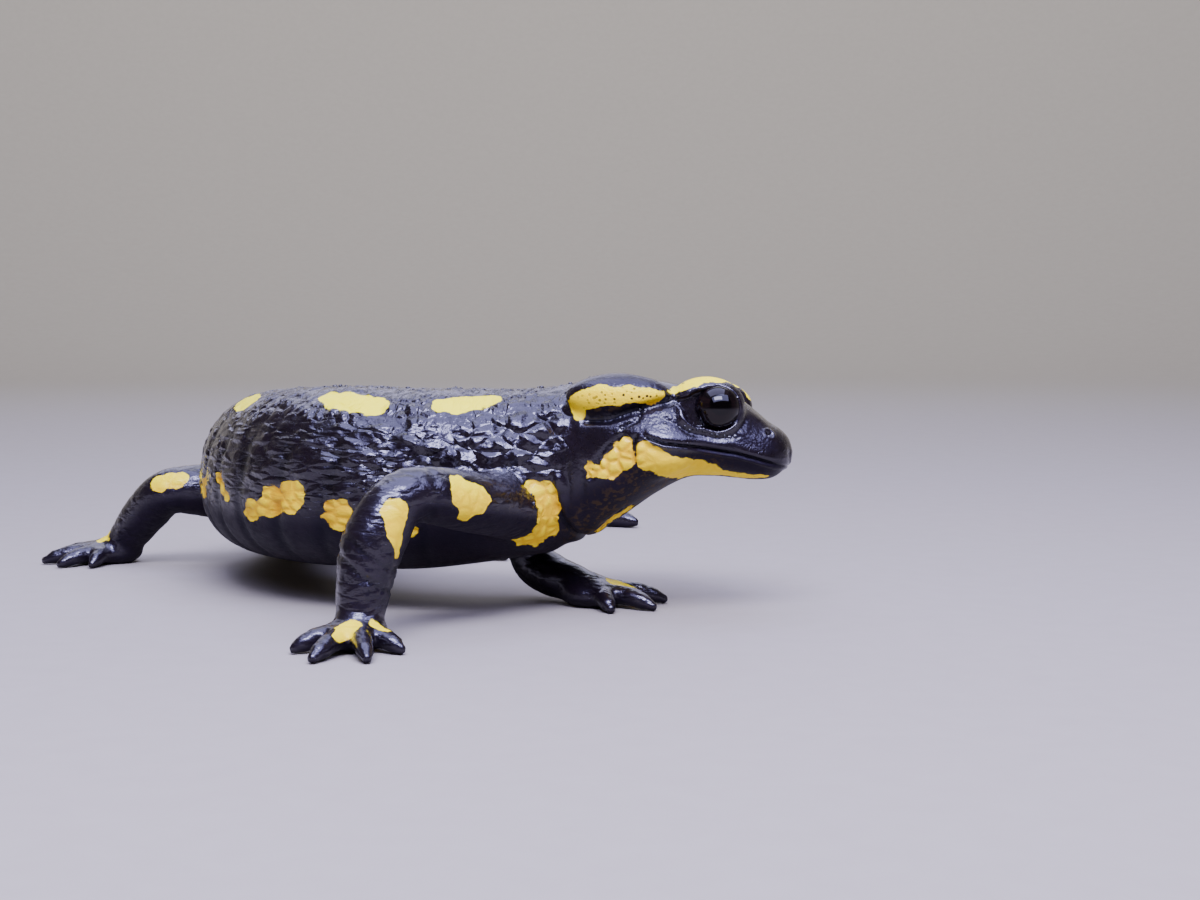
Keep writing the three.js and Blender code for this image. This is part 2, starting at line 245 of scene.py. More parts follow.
# %% [markdown]
# ## A leaning head
# The animal holds its head a few degrees over to its left, and the neck takes up the twist. Every
# form of the head is still described upright, because that is how it was measured. A place is
# turned upright before it is asked about, and turned back only when an eyeball is set.

# %% The roll of the head
HEAD_ROLL = math.radians(-5.5)
ROLL_ENDS = (4.0, 22.0)  # behind the eye line: full roll up to the first, none past the second
TAIL_SIDE = 30.0  # further to the left than this lies only the tail, which doesn't roll


def fade(values, start, end):
    """0 before start, 1 past end, and smooth between them. End may be the lesser."""
    share = np.clip((values - start) / (end - start), 0, 1)
    return share * share * (3 - 2 * share)


def rolled(points, turns=1.0):
    """Places of the upright head as they stand once it leans, or the other way with turns of -1."""
    offset = points - RIGHT_EYE
    ahead, aside, up = offset[:, :2] @ FORWARD, offset[:, :2] @ LEFTWARD, offset[:, 2]
    still = fade(-ahead, *ROLL_ENDS)
    angle = np.where(points[:, 1] > TAIL_SIDE, 0.0, turns * HEAD_ROLL * (1 - still))
    new_aside = aside * np.cos(angle) - up * np.sin(angle)
    new_up = aside * np.sin(angle) + up * np.cos(angle)
    flat = ahead[:, None] * FORWARD + new_aside[:, None] * LEFTWARD
    return RIGHT_EYE + np.column_stack([flat, new_up])


print("the left eye leans down by, mm:", round(2 * EYE_SIDE * math.sin(-HEAD_ROLL), 2))

# %% [markdown]
# ## Skin from a distance field
# The skin has to run without a seam over brows, glands, limbs and digits. Joining meshes leaves
# creases, and metaballs can't hold a sharp lid. A distance field does both: a number for every
# place, negative inside the animal, where two forms are joined by a smooth minimum. The blend gives
# how wide the fillet between them is, in millimetres.

# %% Field helpers
def smooth_union(a, b, blend):
    """The lesser of two distances, with a fillet of the given width where they meet."""
    share = np.clip(0.5 + 0.5 * (b - a) / blend, 0, 1)
    return b + (a - b) * share - blend * share * (1 - share)


def smooth_overlap(a, b, blend):
    """The greater of two distances, with the edge where they meet rounded off."""
    return -smooth_union(-a, -b, blend)


def egg(points, centre, half_sizes):
    """Distance from an egg with the given half sizes."""
    scaled = (points - np.array(centre)) / np.array(half_sizes)
    reach = np.linalg.norm(scaled, axis=1)
    slope = np.linalg.norm(scaled / np.array(half_sizes), axis=1)
    return reach * (reach - 1) / np.maximum(slope, 1e-6)


def tube(points, path):
    """Distance from a tube whose path ends each row with a radius, and the nearest place on it."""
    path = np.asarray(path, float)
    distance = np.full(len(points), 1e3)
    place = np.zeros(len(points))
    for row in range(len(path) - 1):
        start, run = path[row, :-1], path[row + 1, :-1] - path[row, :-1]
        share = np.clip((points - start) @ run / max(run @ run, 1e-9), 0, 1)
        radius = path[row, -1] + share * (path[row + 1, -1] - path[row, -1])
        here = np.linalg.norm(points - start - share[:, None] * run, axis=1) - radius
        place = np.where(here < distance, row + share, place)
        distance = np.minimum(here, distance)
    return distance, place


def trunk_field(behind, aside, height):
    """Distance from the long form of head, trunk and tail."""
    within = np.clip(behind, spine_behind[0], spine_behind[-1])
    middle, half, up, down = (np.interp(within, spine_behind, spine[:, i]) for i in (2, 3, 4, 5))
    rise = height - middle
    tall = np.where(rise > 0, up, down)
    radius = np.hypot(aside, rise)
    ratio = (np.abs(aside / half) ** SQUARENESS + np.abs(rise / tall) ** SQUARENESS) ** (
        1 / SQUARENESS
    )
    distance = radius * (1 - 1 / np.maximum(ratio, 0.05))
    beyond = np.abs(behind - within)
    return np.where(beyond > 0, np.hypot(np.maximum(distance, 0), beyond), distance)


# %% [markdown]
# ## Limbs
# A salamander's limb is a soft tube, thick where its muscle lies and thin at the wrist. The hand is a
# flat pad with four short digits, and the foot has five. Each limb is a path with a radius at each
# place, and each digit a short one that bends down to the floor.

# %% Limbs, hands and feet
# Digits, from the inner one to the outer: degrees from the way the hand or foot points, towards the
# animal's front, and the reach of the tip from the middle of the sole.
FINGERS = [(62, 5.6), (22, 7.4), (-16, 7.8), (-56, 6.2)]
TOES = [(66, 5.6), (34, 7.4), (4, 8.4), (-26, 7.9), (-60, 6.0)]

# A limb: its path from inside the body to the wrist or ankle, with radii, its sole's middle, the way
# its hand or foot points in degrees, which way its digits turn, and the digits.
LIMBS = {
    "right_fore": (
        [
            (-7.0, 0.4, 11.2, 3.4),
            (-13.2, -9.0, 13.4, 3.2),
            (-19.4, -14.6, 14.6, 2.8),  # elbow
            (-22.4, -16.4, 10.6, 3.2),
            (-23.4, -17.2, 6.0, 2.8),  # wrist
            (-23.8, -17.8, 3.0, 2.3),
        ],
        (-24.0, -18.8), -97, 1, FINGERS,
    ),
    "left_fore": (
        [
            (-8.4, 6.0, 13.0, 3.2),
            (-8.6, 10.2, 8.4, 2.8),
            (-7.6, 10.0, 4.4, 2.5),  # elbow
            (-5.4, 8.2, 3.0, 2.4),
            (-3.2, 6.6, 2.5, 2.1),  # wrist
            (-1.6, 5.6, 2.0, 1.8),
        ],
        (-0.8, 5.4), -8, -1, FINGERS,
    ),
    "right_hind": (
        [
            (-41.5, 36.0, 8.8, 4.4),
            (-48.4, 34.8, 9.6, 3.6),
            (-54.8, 33.4, 9.8, 2.9),  # knee
            (-58.4, 35.2, 7.0, 2.8),
            (-61.2, 36.8, 3.8, 2.4),  # ankle
            (-62.6, 37.4, 2.3, 2.0),
        ],
        (-63.4, 37.6), 190, 1, TOES,
    ),
    "left_hind": (
        [
            (-38.5, 38.0, 8.8, 4.4),
            (-31.8, 37.0, 9.4, 3.6),
            (-25.4, 34.6, 9.0, 2.9),  # knee
            (-22.6, 36.8, 6.4, 2.8),
            (-20.8, 39.6, 3.6, 2.4),  # ankle
            (-20.0, 40.8, 2.3, 2.0),
        ],
        (-19.4, 41.6), 10, -1, TOES,
    ),
}
LIMB_STEPS = 6  # pieces of a limb's tube between two of its places
DIGIT_ROOT = (1.0, 1.65, 1.3)  # a digit's first place: from the sole's middle, height and radius
# Its other places: share of its reach, height and radius, at the knuckle, the bend, the last joint
# and the tip.
DIGIT_PLACES = [(0.42, 1.62, 1.08), (0.68, 1.38, 1.02), (0.88, 0.98, 0.86), (1.03, 0.56, 0.52)]
SOLE_SIZE = (3.5, 3.1, 1.7)  # half length, half width, half thickness
SOLE_HEIGHT = 1.4
DIGIT_FILLET, WRIST_FILLET, TRUNK_FILLET = 0.7, 1.0, 1.3  # where each of them meets its neighbour


def digit_path(sole, angle, reach):
    """A digit from the sole, as places with a radius."""
    rows = [DIGIT_ROOT, *[(reach * share, *rest) for share, *rest in DIGIT_PLACES]]
    way = np.array([math.cos(angle), math.sin(angle)])
    return np.array([(*(np.array(sole) + far * way), high, radius) for far, high, radius in rows])


def limb_parts(path, sole, heading, turn, digits):
    """The limb's sampled tube, its digits' tubes, and the sole with its angle."""
    places = np.linspace(0, len(path) - 1, LIMB_STEPS * (len(path) - 1) + 1)
    toes = [digit_path(sole, math.radians(heading + turn * a), reach) for a, reach in digits]
    return curve_through(path, places), toes, np.array(sole), math.radians(heading)


limbs = {name: limb_parts(*values) for name, values in LIMBS.items()}


def limb_field(points, arm, toes, sole, heading):
    """Distance from one limb, and the place along it."""
    distance, place = tube(points, arm)
    turned = points[:, :2] - sole
    way = np.array([math.cos(heading), math.sin(heading)])
    flat = [turned @ way, turned @ np.array([-way[1], way[0]]), points[:, 2] - SOLE_HEIGHT]
    hand = egg(np.column_stack(flat), (0, 0, 0), SOLE_SIZE)
    for toe in toes:
        hand = smooth_union(hand, tube(points, toe)[0], DIGIT_FILLET)
    return smooth_union(distance, hand, WRIST_FILLET), place / LIMB_STEPS


print({name: len(parts[1]) for name, parts in limbs.items()}, "digits")

# %% [markdown]
# ## The head's forms
# Over the sections of the head stand the mounds that carry the eyes, the parotoid glands behind them,
# which hold the animal's poison, and the muscle at the corner of the mouth. Each mound is then opened
# by a pointed oval, the slit between the lids, down to a bed out of which the eyeball stands. Lids
# made so keep one skin with the face.

# %% Head forms
EYE_RADIUS = 2.55
# Forward, to the side and up from the eye line, half sizes, and the fillet's width.
HEAD_FORMS = {
    "eye_mound": ((-1.35, 4.55, 0.05), (4.1, 2.3, 3.02), 0.8),
    "parotoid": ((-10.6, 5.9, 0.9), (5.6, 2.7, 2.35), 0.7),
    "jaw_muscle": ((-6.4, 6.2, -4.6), (3.8, 2.6, 3.0), 1.6),
    "cheek": ((-5.0, 6.0, -1.6), (3.4, 1.35, 1.5), 0.8),
    "snout": ((4.9, 0.0, -4.4), (2.5, 2.8, 2.3), 0.9),
}
# The slit between the lids, seen from the side: forward, up, radius.
LID_SLIT = [(-0.05, -0.44, 2.28), (-1.6, -0.4, 1.98), (-4.1, 0.35, 0.3)]
EYE_BED = 5.6  # how far to the side the bed round the eyeball lies
BED_RISE = 0.25  # the bed's slope up towards the back corner of the lids
BED_RISE_START = -2.2
LID_EDGE = 0.3  # how far the edge of the slit is rounded off
LIMB_REACH = 6  # a limb is only asked about this near its path
HEAD_REACH = 6  # and the head's forms this near its surface


def head_places(points):
    """Forward, to the side and up from the eye line, on the upright head. The side is never negative."""
    flat = points[:, :2] - EYE_LINE[:2]
    return np.column_stack(
        [flat @ FORWARD, np.abs(flat @ LEFTWARD), points[:, 2] - EYE_LINE[2]]
    )


def skin_field(points, upright, behind, aside):
    """Distance from the whole animal, cut off at the floor."""
    distance = trunk_field(behind, aside, upright[:, 2])
    for arm, toes, sole, heading in limbs.values():
        every = np.vstack([arm, *toes])
        low = every[:, :3].min(axis=0) - LIMB_REACH
        high = every[:, :3].max(axis=0) + LIMB_REACH
        near = np.all((points > low) & (points < high), axis=1)
        limb = limb_field(points[near], arm, toes, sole, heading)[0]
        distance[near] = smooth_union(distance[near], limb, TRUNK_FILLET)
    near = (behind < ROLL_ENDS[1]) & (distance < HEAD_REACH)
    face = head_places(upright[near])
    for centre, half_sizes, blend in HEAD_FORMS.values():
        distance[near] = smooth_union(distance[near], egg(face, centre, half_sizes), blend)
    slit = tube(face[:, [0, 2]], LID_SLIT)[0]
    bed = EYE_BED + BED_RISE * np.maximum(BED_RISE_START - face[:, 0], 0)
    opening = -np.maximum(slit, bed - face[:, 1])
    distance[near] = smooth_overlap(distance[near], opening, LID_EDGE)
    return np.maximum(distance, -points[:, 2])


def field_at(points):
    """Distance from the whole animal, with its head leaning."""
    upright = rolled(points, -1.0)
    return skin_field(points, upright, *straighten(upright[:, :2]))


print(len(HEAD_FORMS), "head forms")

# %% [markdown]
# ## From field to mesh
# The field is read on a grid of small cells, and the surface where it is zero becomes quads. A cell
# under half a millimetre keeps the folds of the flank; the face needs finer ones, so its quads are
# split once, and those of the eyelids and lips once more. Every point then slides onto the true
# surface.

# %% Read the field on a grid
CELL = 0.47
CLOSE = 3.0  # only cells this near the surface of the leaning head are read again
GRID_MARGIN = 1.5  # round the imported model's box

grid_low = np.array(CAD_BOX[0]) / MM - GRID_SHIFT - GRID_MARGIN
grid_high = np.array(CAD_BOX[1]) / MM - GRID_SHIFT + GRID_MARGIN
axes = [np.arange(grid_low[i], grid_high[i], CELL) for i in range(3)]
levels = len(axes[2])
field = np.empty((len(axes[0]), len(axes[1]), levels), np.float32)
for slab, x in enumerate(axes[0]):
    columns = np.column_stack([np.full(len(axes[1]), x), axes[1]])
    behind, aside = (np.repeat(values, levels) for values in straighten(columns))
    cells = np.column_stack([np.repeat(columns, levels, axis=0), np.tile(axes[2], len(columns))])
    values = skin_field(cells, cells, behind, aside)
    lean = (np.abs(values) < CLOSE) & (behind < ROLL_ENDS[1]) & (cells[:, 1] < TAIL_SIDE)
    values[lean] = field_at(cells[lean])
    field[slab] = values.reshape(len(axes[1]), levels)
volume = openvdb.FloatGrid(background=CLOSE)
volume.copyFromArray(field)
points, _, quads = volume.convertToPolygons(isovalue=0.0, adaptivity=0.0)
points = grid_low + CELL * np.asarray(points, float)
print("grid", field.shape, "quads", len(quads))

# %% Split the quads of the face
MOUTH_LINE = [
    (7.6, -6.3),
    (6.1, -6.15),
    (3.8, -5.5),
    (2.0, -5.05),
    (-1.7, -4.5),
    (-5.3, -4.15),
    (-7.4, -3.4),
]
NOSTRIL = np.array([5.45, 3.25, -2.75])  # forward, to the side and up from the eye line
HEAD_END = -17.0  # forward of the eye line
LID_SIDE = 4.0  # the lids lie further to the side than this
LID_BAND, LIP_BAND, NOSTRIL_BAND = 0.7, 0.5, 1.0  # how far round each opening the finest quads reach


def line_distance(places, line):
    """Distance from a line drawn through flat places, and how far along its rows the nearest is."""
    return tube(places, [(*row, 0.0) for row in line])


def split_where(mesh, chosen):
    """Splits each face whose middle passes the test into four."""
    sheet = bmesh.new()
    sheet.from_mesh(mesh)
    middles = np.array([face.calc_center_median() for face in sheet.faces])
    edges = {
        edge
        for face, take in zip(sheet.faces, chosen(middles))
        if take
        for edge in face.edges
    }
    bmesh.ops.subdivide_edges(sheet, edges=list(edges), cuts=1, use_grid_fill=True)
    wide = [face for face in sheet.faces if len(face.verts) > 4]
    bmesh.ops.triangulate(sheet, faces=wide)
    sheet.to_mesh(mesh)
    sheet.free()


def on_head(middles):
    """Which places lie on the head."""
    return (head_places(middles)[:, 0] > HEAD_END) & (middles[:, 1] < TAIL_SIDE)


def by_openings(middles):
    """Which places lie close to the lids, the lips or a nostril."""
    face = head_places(rolled(middles, -1.0))
    lids = (np.abs(tube(face[:, [0, 2]], LID_SLIT)[0]) < LID_BAND) & (face[:, 1] > LID_SIDE)
    lips = line_distance(face[:, [0, 2]], MOUTH_LINE)[0] < LIP_BAND
    nostrils = np.linalg.norm(face - NOSTRIL, axis=1) < NOSTRIL_BAND
    return lids | lips | nostrils


skin_mesh = bpy.data.meshes.new("skin")
skin_mesh.from_pydata(points.tolist(), [], np.asarray(quads).tolist())
split_where(skin_mesh, on_head)
split_where(skin_mesh, by_openings)
print("faces after splitting:", len(skin_mesh.polygons))


# %% Slide every point onto the surface
SETTLE_ROUNDS = 3
PROBE = 0.04  # the slope is read over this distance
LEAST_SLOPE = 0.3  # a flatter slope, squared, counts as this one
LONGEST_STEP = 0.3


def read_vectors(mesh, name):
    """The places ("co") or the normals ("normal") of a mesh's points."""
    flat = np.empty(len(mesh.vertices) * 3)
    mesh.vertices.foreach_get(name, flat)
    return flat.reshape(-1, 3)


def settle(points):
    """Moves points down the field's slope until they lie on its surface."""
    for _ in range(SETTLE_ROUNDS):
        here = field_at(points)
        slope = np.column_stack([field_at(points + PROBE * axis) - here for axis in np.eye(3)])
        slope /= PROBE
        steep = np.maximum((slope**2).sum(axis=1), LEAST_SLOPE)
        step = np.clip(here / steep, -LONGEST_STEP, LONGEST_STEP)
        points = points - step[:, None] * slope
    return points


skin_points = settle(read_vectors(skin_mesh, "co"))
skin_mesh.vertices.foreach_set("co", skin_points.ravel())
skin_mesh.update()
print("points settled:", len(skin_points))

# %% [markdown]
# ## Folds that have a place of their own
# The slit of the mouth, the rims of the lids, the nostrils, the creases of the cheek, the fold of
# the throat and the costal grooves, one between each two ribs, are the animal's landmarks. Each is a
# groove or a ridge along a line, pressed into the settled skin along its normals.

# %% Helpers for grooves
FULL_CREASE = 0.3  # a groove this deep, in millimetres, gets the darkest painted shade


def bell(distance, width):
    """1 on a line, falling to nothing a few widths away."""
    return np.exp(-((distance / width) ** 2))


skin_upright = rolled(skin_points, -1.0)
skin_behind, skin_aside = straighten(skin_upright[:, :2])
skin_beside = np.abs(skin_aside)
skin_up = skin_upright[:, 2]
skin_face = head_places(skin_upright)
skin_normals = read_vectors(skin_mesh, "normal")
profile = skin_face[:, [0, 2]]  # the head seen from the side
relief = np.zeros(len(skin_points))
crease = np.zeros(len(skin_points))  # how deep in a fold each point lies, 0 to 1, which the finish paints as shade
# What is limb: what stands out from the trunk, behind the shoulder or lower than the chest.
LIMB_STANDS_OUT, LIMB_SURFACE = (0.5, 1.8), (0.9, 0.3)  # from the trunk, and from a limb's own form
SHOULDER, CHEST = (18.0, 19.5), (7.5, 6.0)  # behind the eye line, and height

on_limbs = {name: limb_field(skin_points, *parts) for name, parts in limbs.items()}
nearest_limb = np.min([distance for distance, _ in on_limbs.values()], axis=0)
limb_share = fade(trunk_field(skin_behind, skin_aside, skin_up), *LIMB_STANDS_OUT)
limb_share *= fade(nearest_limb, *LIMB_SURFACE)
limb_share *= np.maximum(fade(skin_behind, *SHOULDER), fade(skin_points[:, 2], *CHEST))
off_limbs = 1 - limb_share


def press(share, depth):
    """Sinks the skin by depth where share is 1, and notes how deep the fold is, for its painted shade."""
    relief[:] = relief - depth * share
    crease[:] = np.maximum(crease, share * min(1.0, depth / FULL_CREASE))


# %% Mouth and lips
MOUTH_SLIT = (0.13, 0.42)  # width and depth
MOUTH_END = (-7.6, -6.6)  # forward of the eye line: the slit dies out between them
CHIN_BACK = 0.12
LIPS_MEET = (4.6, 6.4)  # forward of the eye line: the lips flatten towards the snout's tip
LIPS_FLATTEN = 0.7  # by this share
# Height over the slit, width and rise: the upper lip, the hollow under the lower one, and the lower.
LIP_ROLLS = [(0.5, 0.55, 0.16), (-0.75, 0.6, -0.22), (-0.36, 0.24, 0.36)]
CHIN_REACH, CHIN_HEIGHT = (5.6, 7.0), (-0.05, -0.5)  # forward of the eye line, and from the slit down

mouth_distance = line_distance(profile, MOUTH_LINE)[0]
mouth_height = np.interp(-profile[:, 0], *np.array([(-x, z) for x, z in MOUTH_LINE]).T)
over_lip = profile[:, 1] - mouth_height
mouth_share = fade(skin_face[:, 0], *MOUTH_END)
mouth_share *= 1 - LIPS_FLATTEN * fade(skin_face[:, 0], *LIPS_MEET)
press(bell(mouth_distance, MOUTH_SLIT[0]) * mouth_share, MOUTH_SLIT[1])
for height, width, rise in LIP_ROLLS:
    relief += rise * bell(over_lip - height, width) * mouth_share
# The tip of the lower jaw stands back under the snout.
relief -= CHIN_BACK * fade(skin_face[:, 0], *CHIN_REACH) * fade(over_lip, *CHIN_HEIGHT)
print("mouth, mm long:", round(MOUTH_LINE[0][0] - MOUTH_LINE[-1][0], 1))

# %% Nostrils and the hollow behind them
NOSTRIL_PIT = (0.34, 0.75)  # width and depth
NOSTRIL_RIM = (0.62, 0.22, 0.12)  # radius, width and rise
HOLLOW = (np.array([3.9, -2.1]), 1.3, 0.22)  # place in the profile, width and depth

nostril_distance = np.linalg.norm(skin_face - NOSTRIL, axis=1)
press(bell(nostril_distance, NOSTRIL_PIT[0]), NOSTRIL_PIT[1])
relief += NOSTRIL_RIM[2] * bell(nostril_distance - NOSTRIL_RIM[0], NOSTRIL_RIM[1])
hollow = bell(np.linalg.norm(profile - HOLLOW[0], axis=1), HOLLOW[1])
relief -= HOLLOW[2] * hollow * fade(skin_face[:, 1], 2.0, 3.5)
print("nostril pit, mm:", NOSTRIL_PIT)

# %% Lids and the folds behind the eye
LID_RIM = (0.2, 0.2, 0.2)  # outside the slit, width and rise
LID_FOLD = (0.85, 0.22, 0.12)  # outside the slit, width and depth
# Creases: the line in the head's profile, its width and its depth.
CHEEK_CREASES = [
    ([(-4.6, 0.5), (-8.0, -0.5), (-11.4, -1.6), (-13.8, -1.6)], 0.45, 0.5),
    ([(-7.9, -0.6), (-8.2, -1.7), (-9.8, -2.5)], 0.25, 0.25),
    ([(-8.3, -3.4), (-8.5, -4.6), (-8.3, -6.2)], 0.2, 0.34),
    ([(-5.6, -1.4), (-2.8, -2.75), (0.2, -3.35), (2.2, -3.2)], 0.3, 0.12),
    ([(-9.8, -3.2), (-11.4, -4.4), (-12.6, -5.9)], 0.25, 0.14),
]

slit_distance = tube(profile, LID_SLIT)[0]
beside_eye = fade(skin_face[:, 1], 3.8, 4.8) * fade(skin_face[:, 0], -9.0, -6.0)
lower = fade(skin_face[:, 2], 1.2, -0.6)
rim = bell(slit_distance - LID_RIM[0], LID_RIM[1]) * beside_eye
relief += LID_RIM[2] * rim * (0.35 + 0.65 * lower)
press(bell(slit_distance - LID_FOLD[0], LID_FOLD[1]) * beside_eye * lower, LID_FOLD[2])
for line, width, depth in CHEEK_CREASES:
    press(bell(line_distance(profile, line)[0], width) * fade(skin_face[:, 1], 3.0, 5.0), depth)
print(len(CHEEK_CREASES), "creases on each cheek")

# %% Folds of the neck, the throat and the chest
NECK_FOLDS = [(14.0, 0.12), (15.5, 0.1)]  # behind the eye line, depth
NECK_FOLD_WIDTH = 0.3
NECK_FOLD_BEND, NECK_FOLD_MIDDLE = 0.018, 13.0  # each bends back above and below this height
GULAR_FOLD = [(7.5, 14.6), (8.5, 15.0), (10.0, 16.0), (12.0, 16.9), (15.0, 17.4)]  # height, place
GULAR_WIDTH, GULAR_DEPTH = 0.4, 0.55
# Place, width and rise: the throat's swelling, then the hollow before the chest.
THROAT_SWELLS = [(13.6, 0.9, 0.3), (17.0, 1.3, -0.5)]
# Folds between the chest and the arm, seen from the side: line, width, depth.
CHEST_FOLDS = [
    ([(21.3, 13.2), (24.6, 12.6)], 0.28, 0.26),
    ([(21.2, 12.1), (24.0, 11.5), (27.0, 10.5)], 0.3, 0.36),
    ([(22.2, 10.9), (27.0, 9.8)], 0.28, 0.26),
    ([(22.0, 16.6), (24.8, 14.8), (27.5, 14.4)], 0.3, 0.24),
]

side_view = np.column_stack([skin_behind, skin_up])
low_on_neck = fade(skin_up, 18.5, 15.5) * fade(skin_beside, 2.5, 5.0)
for place, depth in NECK_FOLDS:
    line = place + NECK_FOLD_BEND * (skin_up - NECK_FOLD_MIDDLE) ** 2
    press(bell(skin_behind - line, NECK_FOLD_WIDTH) * low_on_neck, depth)
# The fold that parts the throat from the chest sweeps forward as it runs down and under.
gular = np.interp(skin_up, *zip(*GULAR_FOLD))
underneath = fade(skin_normals[:, 2], -0.1, -0.6)
press(bell(skin_behind - gular, GULAR_WIDTH) * fade(skin_up, 16.0, 9.0), GULAR_DEPTH)
for place, width, rise in THROAT_SWELLS:
    relief += rise * bell(skin_behind - place, width) * underneath * fade(skin_up, 12.0, 10.0)
for line, width, depth in CHEST_FOLDS:
    press(bell(line_distance(side_view, line)[0], width) * fade(skin_beside, 4.0, 6.0), depth)
print(len(NECK_FOLDS) + len(CHEST_FOLDS) + 1, "folds on neck and chest")

# %% Costal grooves, tail rings and the furrow of the back
FIRST_RIB, RIB_SPACING, RIB_COUNT = 30.5, 4.4, 11
RIB_WIDTH, RIB_DEPTH, RIB_DEEPENS = 0.6, 0.22, 0.022  # each is that much deeper than the one before
RIB_SLANT, RIB_MIDDLE = 0.14, 14.0  # millimetres forward for each one of height, and the level height
FIRST_RING, RING_SPACING, RING_COUNT = 82.0, 3.9, 13  # of the tail
RING_WIDTH, RING_DEPTH = 0.45, 0.2
FURROW_WIDTH, FURROW_DEPTH = 0.9, 0.25  # of the back

on_flank = fade(skin_up, 21.0, 16.5) * fade(skin_beside, 4.0, 7.5)
for rib in range(RIB_COUNT):
    line = FIRST_RIB + rib * RIB_SPACING + RIB_SLANT * (RIB_MIDDLE - skin_up)
    press(bell(skin_behind - line, RIB_WIDTH) * on_flank, RIB_DEPTH + RIB_DEEPENS * rib)
for ring in range(RING_COUNT):
    line = FIRST_RING + ring * RING_SPACING
    press(bell(skin_behind - line, RING_WIDTH) * fade(skin_beside, 0.8, 2.2), RING_DEPTH)
furrow = bell(skin_aside, FURROW_WIDTH)
relief -= FURROW_DEPTH * furrow * fade(skin_behind, 16, 24) * fade(skin_behind, 78, 66)
print(RIB_COUNT, "costal grooves,", RING_COUNT, "tail rings")

# %% Creases of the limbs
LIMB_CREASES = [(1.75, 0.1), (3.9, 0.12)]  # place along the limb, depth
LIMB_CREASE_WIDTH = 0.06  # as a share of the way from one of the limb's places to the next
# Slanting folds of the right forearm: height where they cross its front, width and depth.
FOREARM_FOLDS = [
    (11.4, 0.14, 0.1),
    (9.7, 0.2, 0.26),
    (8.6, 0.14, 0.14),
    (7.2, 0.26, 0.36),
    (6.1, 0.14, 0.14),
]
FOREARM_SLANT, FOREARM_X = 0.75, -23.0

# The folds so far belong to the head and the trunk, and stop at the limbs.
relief *= off_limbs
crease *= off_limbs
for name, (distance, place) in on_limbs.items():
    on_limb = fade(distance, 0.6, 0.05) * limb_share
    for crease_place, depth in LIMB_CREASES:
        press(bell(place - crease_place, LIMB_CREASE_WIDTH) * on_limb, depth)
    if name == "right_fore":
        slanted = skin_points[:, 2] + FOREARM_SLANT * (skin_points[:, 0] - FOREARM_X)
        outer = fade(skin_points[:, 1], -13.0, -15.0)
        for height, width, depth in FOREARM_FOLDS:
            press(bell(slanted - height, width) * on_limb * outer, depth)

skin_points = skin_points + relief[:, None] * skin_normals
skin_points[:, 2] = np.maximum(skin_points[:, 2], 0.0)
print("deepest fold, mm:", round(-relief.min(), 2), "limb points:", int((limb_share > 0.5).sum()))

# %% [markdown]
# ## Where the yellow lies
# The yellow patches are the animal's signature: two rows of ovals along the back, a ragged row low on
# the flank, the glands, the brows, the cheeks and a band under the jaw. Each patch is one or more
# strokes of a round brush on the side or the top of the straightened body, or on a limb where it
# stands. The skin keeps the distance to the nearest stroke, so the finish can draw an edge finer than
# the mesh.

